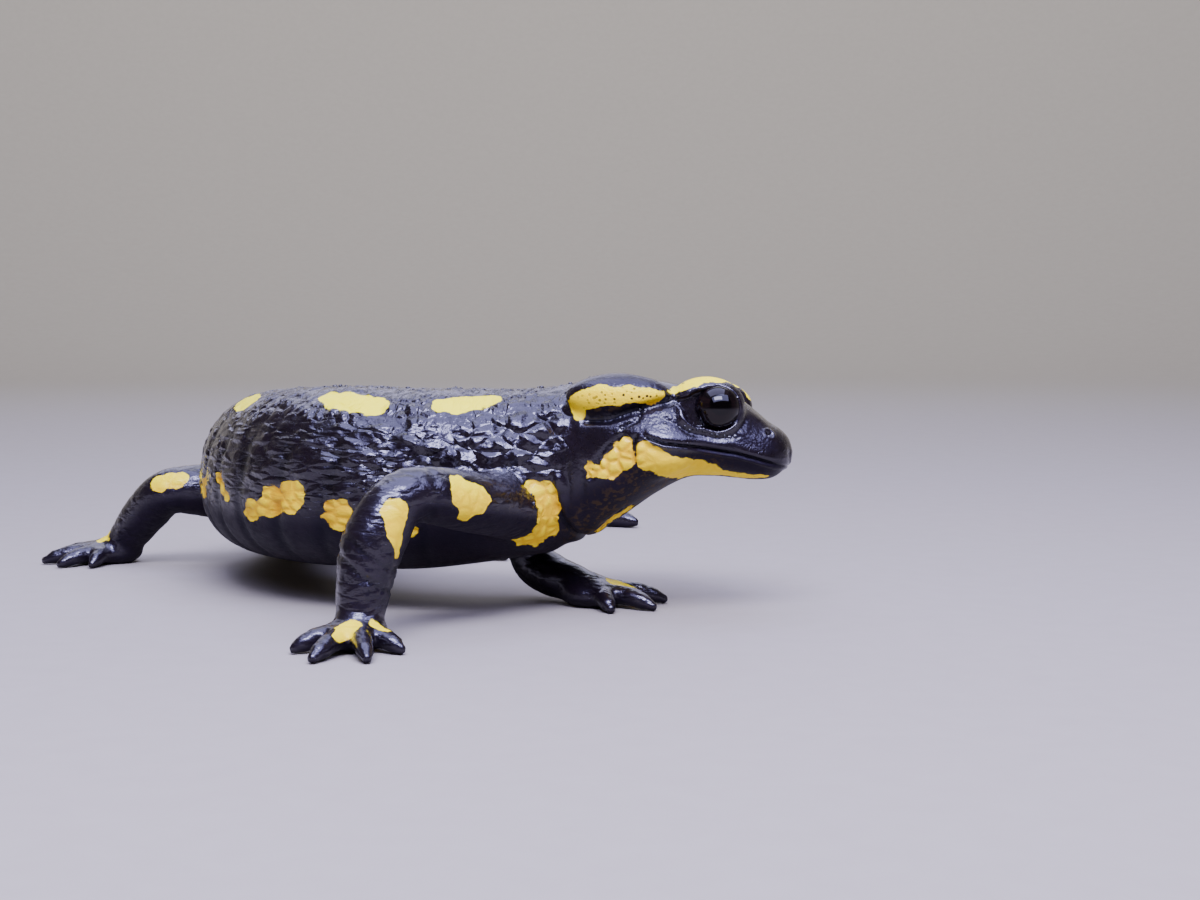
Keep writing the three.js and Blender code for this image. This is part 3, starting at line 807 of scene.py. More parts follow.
# %% Patches
# Strokes on the side: millimetres behind the eye line, height over the floor, radius. Before them
# stand the least distance from the midline and how far behind its fellow the left one lies. A dot is
# a stroke that ends where it starts.
SIDE_PATCHES = {
    "gland": (4.6, 0.0, [
        [(6.3, 23.9, 0.8), (9.0, 24.1, 1.0), (12.8, 23.95, 1.15), (14.7, 23.3, 1.1), (14.6, 22.3, 0.85)],
    ]),
    "jaw": (1.5, 0.0, [
        [(7.3, 18.4, 0.95), (6.9, 17.4, 1.35), (4.6, 16.4, 1.25), (2.2, 15.9, 1.3)],
        [(2.2, 15.9, 1.3), (0.6, 15.55, 1.2), (-0.9, 15.2, 0.95), (-4.9, 14.9, 0.7)],
    ]),
    "brow_end": (3.4, 0.0, [[(4.7, 24.75, 0.5), (3.4, 25.15, 0.5), (1.8, 25.6, 0.35)]]),
    "throat": (0.8, 0.5, [[(13.6, 8.9, 0.5), (11.6, 10.2, 0.55), (9.6, 11.7, 0.5)]]),
    "cheek": (3.0, 0.0, [
        [(9.4, 19.1, 0.85), (9.9, 17.7, 1.45)],
        [(9.3, 17.2, 1.0), (10.9, 16.9, 1.25)],
        [(10.8, 16.3, 1.05), (12.1, 16.2, 0.85)],
    ]),
    "neck_fleck": (3.0, 0.0, [[(13.4, 16.5, 0.55), (13.2, 15.7, 0.55)]]),
    "shoulder": (2.0, 0.6, [
        [(19.9, 14.4, 0.8), (18.5, 13.6, 1.3), (18.0, 11.8, 1.45), (18.5, 9.9, 1.35)],
        [(18.4, 9.9, 1.25), (20.0, 8.7, 0.9), (21.6, 8.3, 0.5)],
    ]),
    "axilla": (2.0, 1.0, [[(31.9, 9.7, 0.5), (32.3, 9.3, 0.5)]]),
    "flank_1": (2.0, 1.5, [
        [(39.2, 12.3, 0.65), (38.3, 12.1, 0.75)],
        [(39.2, 10.8, 0.75), (38.3, 10.6, 0.8), (38.8, 9.9, 0.6)],
    ]),
    "flank_2": (2.0, -1.5, [
        [(42.3, 13.6, 1.2), (42.8, 12.5, 1.4)],
        [(44.3, 12.9, 1.15), (44.6, 11.7, 1.25)],
        [(46.3, 11.2, 1.1), (47.2, 10.5, 0.9)],
    ]),
    "flank_3": (2.0, 1.5, [[(52.5, 13.9, 0.65), (51.5, 12.9, 0.65), (50.6, 11.9, 0.6)]]),
    "flank_4": (2.0, -2.0, [[(57.6, 12.6, 0.9), (58.6, 11.6, 1.1)], [(60.3, 11.8, 0.8)] * 2]),
    "hip": (2.0, 1.0, [[(76.5, 9.6, 1.0), (78.6, 8.8, 1.2)]]),
    "tail_1": (1.0, -1.5, [[(88.5, 5.8, 0.9), (90.5, 5.4, 1.0)]]),
    "tail_2": (1.0, 1.5, [[(103.0, 4.0, 0.7), (105.5, 3.7, 0.8)]]),
    "tail_3": (0.6, -1.0, [[(118.0, 2.8, 0.6), (120.5, 2.6, 0.5)]]),
}
# Strokes on the back: millimetres behind the eye line, to the side, radius. Before them stand the
# left one's shift and the least height over the floor.
BACK_PATCHES = {
    "brow": (0.0, 25.45, [[(4.6, 5.0, 0.8), (2.2, 5.1, 1.2), (0.4, 5.1, 1.3), (-0.9, 4.9, 0.9)]]),
    "back_1": (2.0, 0.0, [[(30.1, 5.5, 1.0), (28.2, 5.5, 1.25), (26.2, 5.1, 1.2), (24.4, 4.5, 0.85)]]),
    "back_2": (-1.5, 0.0, [[(41.7, 5.0, 1.0), (40.2, 5.3, 1.5), (38.4, 5.9, 1.45), (36.6, 6.1, 1.2)]]),
    "back_3": (1.5, 0.0, [[(53.4, 6.2, 1.2), (55.4, 5.6, 1.5), (58.0, 5.2, 1.3)]]),
    "back_4": (-2.0, 0.0, [[(66.0, 4.4, 1.2), (68.5, 4.2, 1.4), (71.0, 3.8, 1.1)]]),
    "rump": (1.5, 0.0, [[(79.5, 2.6, 1.1), (83.0, 2.2, 1.2), (85.5, 2.0, 0.9)]]),
    "tail_a": (-2.0, 0.0, [[(93.0, 1.6, 0.9), (97.0, 1.4, 1.0), (99.0, 1.2, 0.8)]]),
    "tail_b": (2.5, 0.0, [[(109.0, 1.0, 0.7), (114.0, 0.8, 0.8)]]),
    "tail_c": (-2.0, 0.0, [[(125.0, 0.6, 0.5), (129.0, 0.4, 0.5)]]),
}
# Strokes on the limbs, on the maker's grid: x, y, height, radius.
LIMB_PATCHES = [
    [(-12.2, -12.6, 14.0, 1.5), (-13.6, -13.6, 14.6, 1.7), (-14.4, -13.8, 16.0, 1.0)],
    [(-13.4, -13.4, 13.2, 1.1), (-13.8, -13.2, 12.6, 0.8)],
    [(-20.2, -18.4, 13.7, 1.35), (-20.0, -18.6, 11.8, 1.05), (-20.0, -18.2, 9.2, 0.4)],
    [(-24.4, -21.6, 2.6, 1.2), (-24.8, -23.4, 2.2, 0.9)],
    [(-21.6, -20.6, 3.2, 0.8), (-20.6, -21.2, 2.6, 0.6)],
    [(-10.2, 12.6, 9.5, 1.5), (-10.0, 12.8, 7.4, 1.2)],
    [(1.8, 4.6, 2.6, 1.2), (3.6, 4.2, 1.8, 0.9)],
    [(-53.2, 31.0, 11.6, 1.1), (-55.8, 31.2, 11.0, 1.2)],
    [(-62.6, 37.0, 3.4, 1.5), (-64.2, 36.6, 2.8, 1.2)],
    [(-29.6, 37.4, 12.6, 1.6), (-27.2, 36.2, 11.8, 1.3)],
    [(-20.2, 41.6, 3.2, 1.4), (-18.6, 41.2, 2.6, 1.1)],
]
# The left brow's patch runs down in front of the eye: forward, to the side, up, radius.
LEFT_BROW = [[(2.0, 4.7, 2.0, 0.65), (2.5, 4.6, 1.5, 0.8)]]
LEFT_BROW_BACK = 3  # behind the eye line there is none of it past here
print(len(SIDE_PATCHES) + len(BACK_PATCHES), "patches on each side")

# %% Paint both sides
LEFT_DROP, LEFT_SWELL = 0.25, 0.08  # what a millimetre of shift does to a left patch's place and size
BARE = -9.0  # far outside every patch
STROKE_FILLET = 0.35  # where two strokes of a patch meet
BACK_EDGE = 0.7  # how fast a patch of the back fades towards the flank, for each millimetre down
LIMB_BARE = (0.2, 0.6)  # the trunk's patches end where the skin is this much limb


def brushed(places, strokes, swell=0.0):
    """How far inside the strokes each place lies, in millimetres."""
    best = np.full(len(places), -BARE)
    for stroke in strokes:
        best = smooth_union(best, tube(places, stroke)[0], STROKE_FILLET)
    return swell - best


def inside_patch(side, shift, across, strokes):
    """How far inside a patch each point lies. A left one is shifted back, lowered and swollen."""
    slide = shift if side > 0 else 0.0
    places = np.column_stack([skin_behind - slide, across + LEFT_DROP * slide])
    return brushed(places, strokes, LEFT_SWELL * slide)


patch = np.full(len(skin_points), BARE)
middle = np.interp(skin_behind, spine_behind, spine[:, 2])
level = skin_up - middle  # height over the body's widest level
for side in (-1, 1):
    aside = side * skin_aside
    for least_aside, shift, strokes in SIDE_PATCHES.values():
        inside = inside_patch(side, shift, skin_up, strokes)
        patch = np.maximum(patch, np.minimum(inside, aside - least_aside))
    for shift, least_up, strokes in BACK_PATCHES.values():
        inside = inside_patch(side, shift, aside, strokes)
        on_top = np.minimum(level * BACK_EDGE, skin_up - least_up)
        patch = np.maximum(patch, np.minimum(inside, on_top))
patch = patch + (BARE - patch) * fade(limb_share, *LIMB_BARE)
patch = np.maximum(patch, brushed(skin_points, LIMB_PATCHES))
left_brow = brushed(skin_face, LEFT_BROW)
before_left_eye = (skin_aside > 0) & (skin_behind < LEFT_BROW_BACK)
patch = np.maximum(patch, np.where(before_left_eye, left_brow, BARE))
print("share of the skin that is yellow:", round(float((patch > 0).mean()), 3))

# %% [markdown]
# ## How strongly each region is wrinkled, cobbled and beaded
# The neck and the shoulder are a net of large plates. The flank behind them is drawn out in streaks
# along the body, and the back is rippled across it. The head, the belly and the limbs are smoother.
# Yellow skin is cobbled, the gland is pitted by pores, and beads of gland stand in lines along the
# back, on the shoulder, and behind and under the eye. One number for each point says how much of each
# there is.

# %% Region weights
YELLOW_FOLDS = 0.35  # yellow skin is plumper, so it folds only this much
BACK_PLATES = 0.2  # what is left of the neck's plates on top of the back
LIMB_STREAKS, HEAD_RIPPLES = 0.3, 0.06  # how strongly the limbs and the head are wrinkled
LIMB_COBBLES, FACE_COBBLES = 0.4, 0.25  # how strongly yellow is cobbled there

off_floor = fade(skin_points[:, 2], 0.2, 1.6)  # what rests on the floor is pressed flat
plain_skin = YELLOW_FOLDS + (1 - YELLOW_FOLDS) * fade(patch, 0.3, -0.2)
plain_skin *= off_floor
on_trunk = fade(skin_behind, 14.5, 18.0) * fade(skin_behind, 86.0, 74.0) * off_limbs
neck_plates = on_trunk * fade(skin_behind, 44.0, 30.0) * fade(level, -4.5, 0.0)
flank_streaks = on_trunk * fade(skin_behind, 28.0, 38.0) * fade(level, -3.5, 0.5)
over_back = fade(level, 6.5, 9.0)
over_head = fade(skin_behind, 12.0, 7.0) * off_limbs
regions = {
    "neck_plates": neck_plates * (1 - (1 - BACK_PLATES) * over_back) * plain_skin,
    "flank_streaks": (flank_streaks * (1 - over_back) + LIMB_STREAKS * limb_share) * plain_skin,
    "back_ripples": (on_trunk * over_back + HEAD_RIPPLES * over_head) * plain_skin,
}
cobbles = fade(patch, -0.3, 0.15) * fade(level, 3.5, 0.5)
cobbles *= 1 - (1 - LIMB_COBBLES) * limb_share
cobbles *= fade(skin_behind, 6.0, 9.0) * (1 - FACE_COBBLES) + FACE_COBBLES
cobbles *= off_floor
on_head_side = fade(skin_behind, 17.0, 9.0) * fade(skin_beside, 2.5, 4.0) * off_limbs
pores = fade(patch, 0.1, 0.4) * on_head_side * fade(skin_up, 21.0, 22.5) * fade(skin_behind, 5.0, 7.0)
# Fine grains: the side of the snout, the shelf under the eye and the temple.
grains = on_head_side * fade(over_lip, 0.9, 1.6) * fade(slit_distance, 0.5, 0.9)
facing_up = skin_normals[:, 2]
# What faces the ground is dull, as the film of water doesn't lie there, but for the snout's tip.
wet = 1 - fade(facing_up, 0.1, -0.4) * fade(skin_behind, -8.0, -6.0)
# Painted light: yellow is painted palest on the top of the back, where the lamps above fall fullest, and
# a little paler on the brow and wherever it faces the sky.
LESS_TOP_LIGHT = 0.6
lemon = fade(level, 5.0, 8.0) * fade(skin_behind, 18.0, 24.0)
on_brow = fade(skin_up, 24.4, 25.2) * fade(skin_behind, 8.0, 6.0)
lemon = np.maximum(lemon, LESS_TOP_LIGHT * np.maximum(on_brow, fade(facing_up, 0.1, 0.6)))
throat = fade(skin_behind, 18.0, 15.0) * fade(skin_behind, -3.0, 3.0) * off_limbs
throat *= fade(facing_up, -0.2, -0.7)
print({name: round(float(weight.mean()), 3) for name, weight in regions.items()})

# %% Where beads of gland stand
# Behind the eye line and height, seen from the side, with the band's half width.
BEAD_LINES = [
    ([(7.9, 22.6), (8.1, 21.6), (8.9, 21.1), (10.2, 20.4)], 0.35),
    ([(5.2, 21.3), (3.0, 20.55), (0.2, 19.95), (-2.0, 19.9)], 0.2),
    ([(20.0, 13.4), (20.6, 12.0)], 0.7),
    ([(24.0, 14.4), (26.5, 13.6)], 0.5),
]
# A row on each side of the midline: to the side, the band's half width, and how dense it is.
BACK_ROW = (0.9, 0.45, 0.5)
BAND_EDGE = 1.6  # a band dies out at this many half widths

along_back = fade(skin_behind, 12, 18) * fade(skin_behind, 90, 80) * fade(level, 2.0, 5.0)
beads = BACK_ROW[2] * bell(skin_beside - BACK_ROW[0], BACK_ROW[1]) * along_back
for line, half_width in BEAD_LINES:
    distance = line_distance(side_view, line)[0]
    band = fade(distance, half_width * BAND_EDGE, half_width) * fade(skin_beside, 3.0, 5.0)
    beads = np.maximum(beads, band)
beads *= fade(patch, 0.2, -0.2) * off_limbs
print("points that carry beads:", int((beads > 0.3).sum()))

# %% Write the skin's mesh and what it knows of itself
def write_known(mesh, name, values):
    """Gives the mesh a number, or a vector, for each of its points."""
    kind, field_name = ("FLOAT", "value") if values.ndim == 1 else ("FLOAT_VECTOR", "vector")
    mesh.attributes.new(name, kind, "POINT").data.foreach_set(field_name, values.ravel())


skin_mesh.vertices.foreach_set("co", to_frame(skin_points).ravel())
write_known(skin_mesh, "lie", np.column_stack([skin_behind, skin_aside, skin_up]))
known = {
    "patch": patch,
    "crease": crease,
    "cobbles": cobbles,
    "pores": pores,
    "grains": grains,
    "throat": throat,
    "lemon": lemon,
    "limb": limb_share,
    "wet": wet,
    "beads": beads,
    **regions,
}
for name, values in known.items():
    write_known(skin_mesh, name, values)
skin_mesh.shade_smooth()
skin_mesh.update()
print("the skin knows:", ", ".join(known))

# %% [markdown]
# ## Wrinkles that follow a rule
# Between the landmarks the skin is a net of small plates, parted by fine cracks and each tilted its
# own way, which is why a wet flank glitters in shards. It could be sculpted, but a rule does it
# evenly: cells grown from scattered seeds, read in the straightened body's own millimetres so that
# they run along it. The same cells shape the mesh and then steer the finish.

# %% One helper for every node
def add_node(tree, kind, inputs=None, out=0, **settings):
    """Adds a node with its settings and links, and returns the output of the given name or number."""
    node = tree.nodes.new(kind)
    for name, value in settings.items():
        setattr(node, name, value)
    for key, value in (inputs or {}).items():
        if isinstance(value, bpy.types.NodeSocket):
            tree.links.new(value, node.inputs[key])
        else:
            node.inputs[key].default_value = value
    return node.outputs[out] if node.outputs else None


# %% Plates of the skin, for geometry and finish alike
# For each region: a plate's length, width and height in millimetres, how far the net is turned seen
# from the side, in degrees, how much plates tilt, and how far they swell above the cracks.
PLATES = {
    "neck_plates": ((2.4, 2.0, 1.6), 42.0, 0.8, 0.34),
    "flank_streaks": ((2.2, 1.6, 1.0), 14.0, 0.55, 0.24),
    "back_ripples": ((0.9, 2.4, 1.2), 20.0, 0.55, 0.26),
}
SWELL_REACH = 0.4  # how far in from the crack a plate swells, as a share of a plate
PATCH_OF_RELIEF = 2.8  # millimetres between a place that is folded and one that is smooth
LEAST_RELIEF, MOST_RELIEF = 0.4, 1.1  # shares of the relief in such places
WARP_SCALE, WARP = 0.9, 0.8  # noise that bends the net, both reckoned in plates
PLATE_SCATTER, COBBLE_SCATTER = 0.9, 0.8  # how unevenly the seeds lie: 0 is a grid, 1 is by chance


def plate_relief(tree, lie, weights):
    """The height of the plates in millimetres, each region's by its weight."""
    relief = 0.0
    for name, (size, turn, tilting, depth) in PLATES.items():
        shrink = tuple(1 / side for side in size)
        cells = add_node(tree, "ShaderNodeVectorMath", {0: lie, 1: shrink}, operation="MULTIPLY")
        cells = add_node(
            tree,
            "ShaderNodeVectorRotate",
            {"Vector": cells, "Angle": math.radians(turn)},
            rotation_type="Y_AXIS",
        )
        noise = add_node(tree, "ShaderNodeTexNoise", {"Vector": cells, "Scale": WARP_SCALE}, out="Color")
        bent = {0: noise, 1: (WARP, WARP, WARP), 2: cells}
        cells = add_node(tree, "ShaderNodeVectorMath", bent, operation="MULTIPLY_ADD")
        around = {"Vector": cells, "Scale": 1.0, "Randomness": PLATE_SCATTER}
        edge = add_node(tree, "ShaderNodeTexVoronoi", around, out="Distance", feature="DISTANCE_TO_EDGE")
        swell = add_node(
            tree,
            "ShaderNodeMapRange",
            {"Value": edge, "From Min": -0.1, "From Max": SWELL_REACH, "To Max": depth},
            interpolation_type="SMOOTHSTEP",
        )
        lean = add_node(tree, "ShaderNodeTexVoronoi", around, out="Color", feature="F1")
        seed = lean.node.outputs["Position"]
        lean = add_node(tree, "ShaderNodeVectorMath", {0: lean, 1: (0.5, 0.5, 0.5)}, operation="SUBTRACT")
        inside = add_node(tree, "ShaderNodeVectorMath", {0: cells, 1: seed}, operation="SUBTRACT")
        tilt = add_node(
            tree, "ShaderNodeVectorMath", {0: lean, 1: inside}, out="Value", operation="DOT_PRODUCT"
        )
        plate = {0: tilt, 1: tilting, 2: swell}
        plate = add_node(tree, "ShaderNodeMath", plate, operation="MULTIPLY_ADD")
        relief = add_node(
            tree, "ShaderNodeMath", {0: plate, 1: weights[name], 2: relief}, operation="MULTIPLY_ADD"
        )
    lumps = {"Vector": lie, "Scale": 1 / PATCH_OF_RELIEF, "Detail": 1.0}
    lumps = add_node(tree, "ShaderNodeTexNoise", lumps, out="Fac")
    folded = {"Value": lumps, "From Min": 0.38, "From Max": 0.56}
    folded |= {"To Min": LEAST_RELIEF, "To Max": MOST_RELIEF}
    folded = add_node(tree, "ShaderNodeMapRange", folded, interpolation_type="SMOOTHSTEP")
    return add_node(tree, "ShaderNodeMath", {0: relief, 1: folded}, operation="MULTIPLY")


# %% Cobbles, for geometry and finish alike
COBBLE_SIZE = 1.25
GAP_WIDTH = 0.3  # from a cobble's edge to its crown, as a share of a cobble


def cobble_gaps(tree, lie, weight):
    """1 in the gaps between cobbles, falling smoothly to 0 on their crowns, by the weight."""
    around = {"Vector": lie, "Scale": 1 / COBBLE_SIZE, "Randomness": COBBLE_SCATTER}
    edge = add_node(tree, "ShaderNodeTexVoronoi", around, out="Distance", feature="DISTANCE_TO_EDGE")
    gap = add_node(
        tree,
        "ShaderNodeMapRange",
        {"Value": edge, "From Min": 0.0, "From Max": GAP_WIDTH, "To Min": 1.0, "To Max": 0.0},
        interpolation_type="SMOOTHSTEP",
    )
    return add_node(tree, "ShaderNodeMath", {0: gap, 1: weight}, operation="MULTIPLY")


# %% The wrinkle tree
def new_geometry_tree(name, sizes):
    """A Geometry Nodes tree with a geometry input, the named sizes as inputs, and one output."""
    tree = bpy.data.node_groups.new(name, "GeometryNodeTree")
    tree.interface.new_socket("Geometry", in_out="INPUT", socket_type="NodeSocketGeometry")
    for size_name, kind in sizes.items():
        tree.interface.new_socket(size_name, in_out="INPUT", socket_type=kind)
    tree.interface.new_socket("Geometry", in_out="OUTPUT", socket_type="NodeSocketGeometry")
    return tree, add_node(tree, "NodeGroupInput").node.outputs


wrinkles, given = new_geometry_tree(
    "skin wrinkles",
    {
        "Plate Relief": "NodeSocketFloat",
        "Cobble Depth": "NodeSocketFloat",
        "Material": "NodeSocketMaterial",
    },
)
named = {
    name: add_node(wrinkles, "GeometryNodeInputNamedAttribute", {"Name": name}, out="Attribute")
    for name in (*PLATES, "cobbles")
}
lie_in = add_node(
    wrinkles,
    "GeometryNodeInputNamedAttribute",
    {"Name": "lie"},
    out="Attribute",
    data_type="FLOAT_VECTOR",
)
plates = plate_relief(wrinkles, lie_in, named)
plates = add_node(wrinkles, "ShaderNodeMath", {0: plates, 1: given["Plate Relief"]}, operation="MULTIPLY")
gaps = cobble_gaps(wrinkles, lie_in, named["cobbles"])
gaps = add_node(wrinkles, "ShaderNodeMath", {0: gaps, 1: given["Cobble Depth"]}, operation="MULTIPLY")
height = add_node(wrinkles, "ShaderNodeMath", {0: plates, 1: gaps}, operation="SUBTRACT")
normal = add_node(wrinkles, "GeometryNodeInputNormal", out="Normal")
offset = add_node(wrinkles, "ShaderNodeVectorMath", {0: normal, "Scale": height}, operation="SCALE")
moved = {"Geometry": given["Geometry"], "Offset": offset}
moved = add_node(wrinkles, "GeometryNodeSetPosition", moved)
real = add_node(wrinkles, "GeometryNodeRealizeInstances", {"Geometry": moved})
dressed = {"Geometry": real, "Material": given["Material"]}
dressed = add_node(wrinkles, "GeometryNodeSetMaterial", dressed)
add_node(wrinkles, "NodeGroupOutput", {"Geometry": dressed})
print("wrinkle tree:", len(wrinkles.nodes), "nodes")

# %% [markdown]
# ## Helpers for finishes
# Colours are picked as they look on a screen, as hex values, and light is reckoned in linear values.
# Most colours here are laid over one another, as a painter's glazes are, each where something that
# the skin knows says so.

# %% From hex to linear
def linear(hex_colour):
    """A hex colour as linear red, green, blue and an alpha of 1."""
    channels = [int(hex_colour[i : i + 2], 16) / 255 for i in (1, 3, 5)]
    return (*[c / 12.92 if c <= 0.04045 else ((c + 0.055) / 1.055) ** 2.4 for c in channels], 1.0)


# %% Layers of colour
def lay_over(tree, colour, layers):
    """Lays colours over one another. A layer says by what, how strongly, and the colour."""
    for share, strength, top in layers:
        share = add_node(tree, "ShaderNodeMath", {0: share, 1: strength}, operation="MULTIPLY")
        laid = {"Factor": share, 6: colour, 7: linear(top)}
        colour = add_node(tree, "ShaderNodeMix", laid, out=2, data_type="RGBA")
    return colour


# %% A finish to start from
def new_finish(name):
    """A material with no nodes yet, and its tree."""
    material = bpy.data.materials.new(name)
    material.use_nodes = True
    material.node_tree.nodes.clear()
    return material, material.node_tree


# %% [markdown]
# ## Wet salamander skin
# Living amphibian skin under its film of slime. The film is smooth and gives the hard glints; the
# skin beneath is thin and softer in its gloss. Black skin is a violet black, never neutral. Yellow
# pigment is a lemon yellow, and glands open in it as dark pores. Painted shade darkens the folds and
# deepens yellow to orange in the gaps between cobbles; painted light pales yellow where it faces the
# lamps above.

# %% Wet salamander skin: what is black and what is yellow
skin_material, tree = new_finish("wet salamander skin")
seen = {
    name: add_node(tree, "ShaderNodeAttribute", out="Fac", attribute_name=name)
    for name in known
    if name != "beads"
}
lie_seen = add_node(tree, "ShaderNodeAttribute", out="Vector", attribute_name="lie")
# The edge of a patch steps back between cobbles, wanders by a little more, and frays by less, all in
# millimetres. Each wandering has the length of its waves and how far it goes.
EDGE_STEP = 0.1
EDGE_WAVES = [(1.3, 0.2), (0.22, 0.03)]
EDGE_BLUR = 0.05  # half the width over which black turns to yellow

gaps = cobble_gaps(tree, lie_seen, seen["cobbles"])
reach = {0: gaps, 1: -EDGE_STEP, 2: seen["patch"]}
reach = add_node(tree, "ShaderNodeMath", reach, operation="MULTIPLY_ADD")
for lump, spread in EDGE_WAVES:
    lumps = {"Vector": lie_seen, "Scale": 1 / lump, "Detail": 1.0}
    noise = add_node(tree, "ShaderNodeTexNoise", lumps, out="Fac")
    shift = {"Value": noise, "From Min": 0.3, "From Max": 0.7, "To Min": -spread, "To Max": spread}
    shift = add_node(tree, "ShaderNodeMapRange", shift)
    reach = add_node(tree, "ShaderNodeMath", {0: reach, 1: shift}, operation="ADD")
is_yellow = add_node(
    tree,
    "ShaderNodeMapRange",
    {"Value": reach, "From Min": -EDGE_BLUR, "From Max": EDGE_BLUR},
    interpolation_type="SMOOTHSTEP",
)
print("attributes the finish reads:", len(seen) + 1)

# %% Wet salamander skin: colours
# How many there are to a millimetre, of broad clouds of colour, of fine ones, and of pores.
BROAD_CLOUDS, FINE_CLOUDS, PORES = 0.38, 1.7, 1.8

plate_height = plate_relief(tree, lie_seen, seen)
broad = {"Vector": lie_seen, "Scale": BROAD_CLOUDS}
broad = add_node(tree, "ShaderNodeTexNoise", broad, out="Fac")
fine = {"Vector": lie_seen, "Scale": FINE_CLOUDS, "Detail": 3.0}
fine = add_node(tree, "ShaderNodeTexNoise", fine, out="Fac")
pits = {"Vector": lie_seen, "Scale": PORES}
pits = add_node(tree, "ShaderNodeTexVoronoi", pits, out="Distance", feature="F1")
pit = {"Value": pits, "From Min": 0.33, "From Max": 0.22, "To Min": 0.0, "To Max": 1.0}
pit = add_node(tree, "ShaderNodeMapRange", pit, interpolation_type="SMOOTHSTEP")
pit = add_node(tree, "ShaderNodeMath", {0: pit, 1: seen["pores"]}, operation="MULTIPLY")
mottle = {"Value": fine, "From Min": 0.5, "From Max": 0.62}
mottle = add_node(tree, "ShaderNodeMapRange", mottle, interpolation_type="SMOOTHSTEP")
mottle = add_node(tree, "ShaderNodeMath", {0: mottle, 1: seen["throat"]}, operation="MULTIPLY")

# The last layer is painted shade: the folds are darkened to near black.
layers = [(broad, 1.0, "#170e14"), (mottle, 0.4, "#5c4812"), (seen["crease"], 0.85, "#020102")]
soot = lay_over(tree, linear("#0b070a"), layers)
layers = [
    (broad, 0.7, "#ffc800"),
    # painted light: the yellow is paled to lemon where it faces the lamps above
    (seen["lemon"], 1.0, "#fff200"),
    # painted shade: the gaps between cobbles deepen the yellow to orange
    (gaps, 0.5, "#d49000"),
    # painted shade: the folds darken the yellow to orange-brown
    (seen["crease"], 0.6, "#b06a00"),
    (pit, 1.0, "#2a1a06"),
]
gold = lay_over(tree, linear("#ffe400"), layers)
colour = {"Factor": is_yellow, 6: soot, 7: gold}
colour = add_node(tree, "ShaderNodeMix", colour, out=2, data_type="RGBA")
print(skin_material.name, "so far:", len(tree.nodes), "nodes")

# %% Wet salamander skin: fine relief, gloss and the shader
# The grains and the grit are drawn as coarse as they need to be to show.
GRAIN_SIZE, GRITS = 0.3, 4.5  # millimetres from grain to grain, and grits to a millimetre
SKIN_GRIT = 0.034
# How much of each the finish raises, in millimetres: the plates again, but finer than the mesh can
# hold them, the gaps between cobbles, the pores and the grains. Gaps and pores sink, and so does what
# lies between grains.
PLATES_AGAIN, GAP_RISE, PORE_RISE, GRAIN_RISE = 0.75, -0.08, -0.08, -0.06
# Roughness that is added to, and the film of water that is lost by, each kind of skin.
ROUGHER = ((is_yellow, 0.1), (seen["limb"], 0.1), (seen["grains"], 0.2))
DULL_ROUGHER = 0.3
FILM_LOST = ((is_yellow, 0.85), (seen["grains"], 0.45))

grain = {"Vector": lie_seen, "Scale": 1 / GRAIN_SIZE}
grain = add_node(tree, "ShaderNodeTexVoronoi", grain, out="Distance", feature="SMOOTH_F1")
grit = {"Vector": lie_seen, "Scale": GRITS, "Detail": 2.0}
grit = add_node(tree, "ShaderNodeTexNoise", grit, out="Fac")
height = add_node(tree, "ShaderNodeMath", {0: grit, 1: SKIN_GRIT}, operation="MULTIPLY")
grain = add_node(tree, "ShaderNodeMath", {0: grain, 1: seen["grains"]}, operation="MULTIPLY")
raised = ((plate_height, PLATES_AGAIN), (gaps, GAP_RISE), (pit, PORE_RISE), (grain, GRAIN_RISE))
for share, rise in raised:
    height = add_node(tree, "ShaderNodeMath", {0: share, 1: rise, 2: height}, operation="MULTIPLY_ADD")
bump = add_node(tree, "ShaderNodeBump", {"Height": height, "Distance": MM, "Strength": 1.0})
rough = {"Value": fine, "From Min": 0.3, "From Max": 0.7, "To Min": 0.22, "To Max": 0.34}
rough = add_node(tree, "ShaderNodeMapRange", rough)
dull = add_node(tree, "ShaderNodeMath", {0: 1.0, 1: seen["wet"]}, operation="SUBTRACT")
for share, more in (*ROUGHER, (dull, DULL_ROUGHER)):
    rough = {0: share, 1: more, 2: rough}
    rough = add_node(tree, "ShaderNodeMath", rough, operation="MULTIPLY_ADD")
film = seen["wet"]
for share, loss in FILM_LOST:
    kept = add_node(tree, "ShaderNodeMath", {0: share, 1: -loss, 2: 1.0}, operation="MULTIPLY_ADD")
    film = add_node(tree, "ShaderNodeMath", {0: film, 1: kept}, operation="MULTIPLY")
shader = add_node(
    tree,
    "ShaderNodeBsdfPrincipled",
    {
        "Base Color": colour,
        "Roughness": rough,
        "IOR": 1.32,
        "Specular Tint": linear("#cfc8ff"),
        "Coat Weight": film,
        "Coat Roughness": 0.16,
        "Coat IOR": 1.5,
        "Normal": bump,
        "Coat Normal": bump,
    },
)
add_node(tree, "ShaderNodeOutputMaterial", {"Surface": shader})
print(skin_material.name, len(tree.nodes), "nodes")

# %% Fold the skin
def run_nodes(name, carrier_mesh, tree, values):
    """Runs a Geometry Nodes tree on a mesh and returns the result as a plain object."""
    carrier = put_in_scene(name + "_carrier", carrier_mesh)
    modifier = carrier.modifiers.new("nodes", "NODES")
    modifier.node_group = tree
    for item in tree.interface.items_tree:
        if item.in_out == "INPUT" and item.name in values:
            modifier[item.identifier] = values[item.name]
    made = carrier.evaluated_get(bpy.context.evaluated_depsgraph_get())
    mesh = bpy.data.meshes.new_from_object(made)
    carrier.modifiers.remove(modifier)
    bpy.data.objects.remove(carrier)
    return put_in_scene(name, mesh)


def count_triangles(mesh):
    """How many triangles the mesh's faces come to."""
    mesh.calc_loop_triangles()
    return len(mesh.loop_triangles)


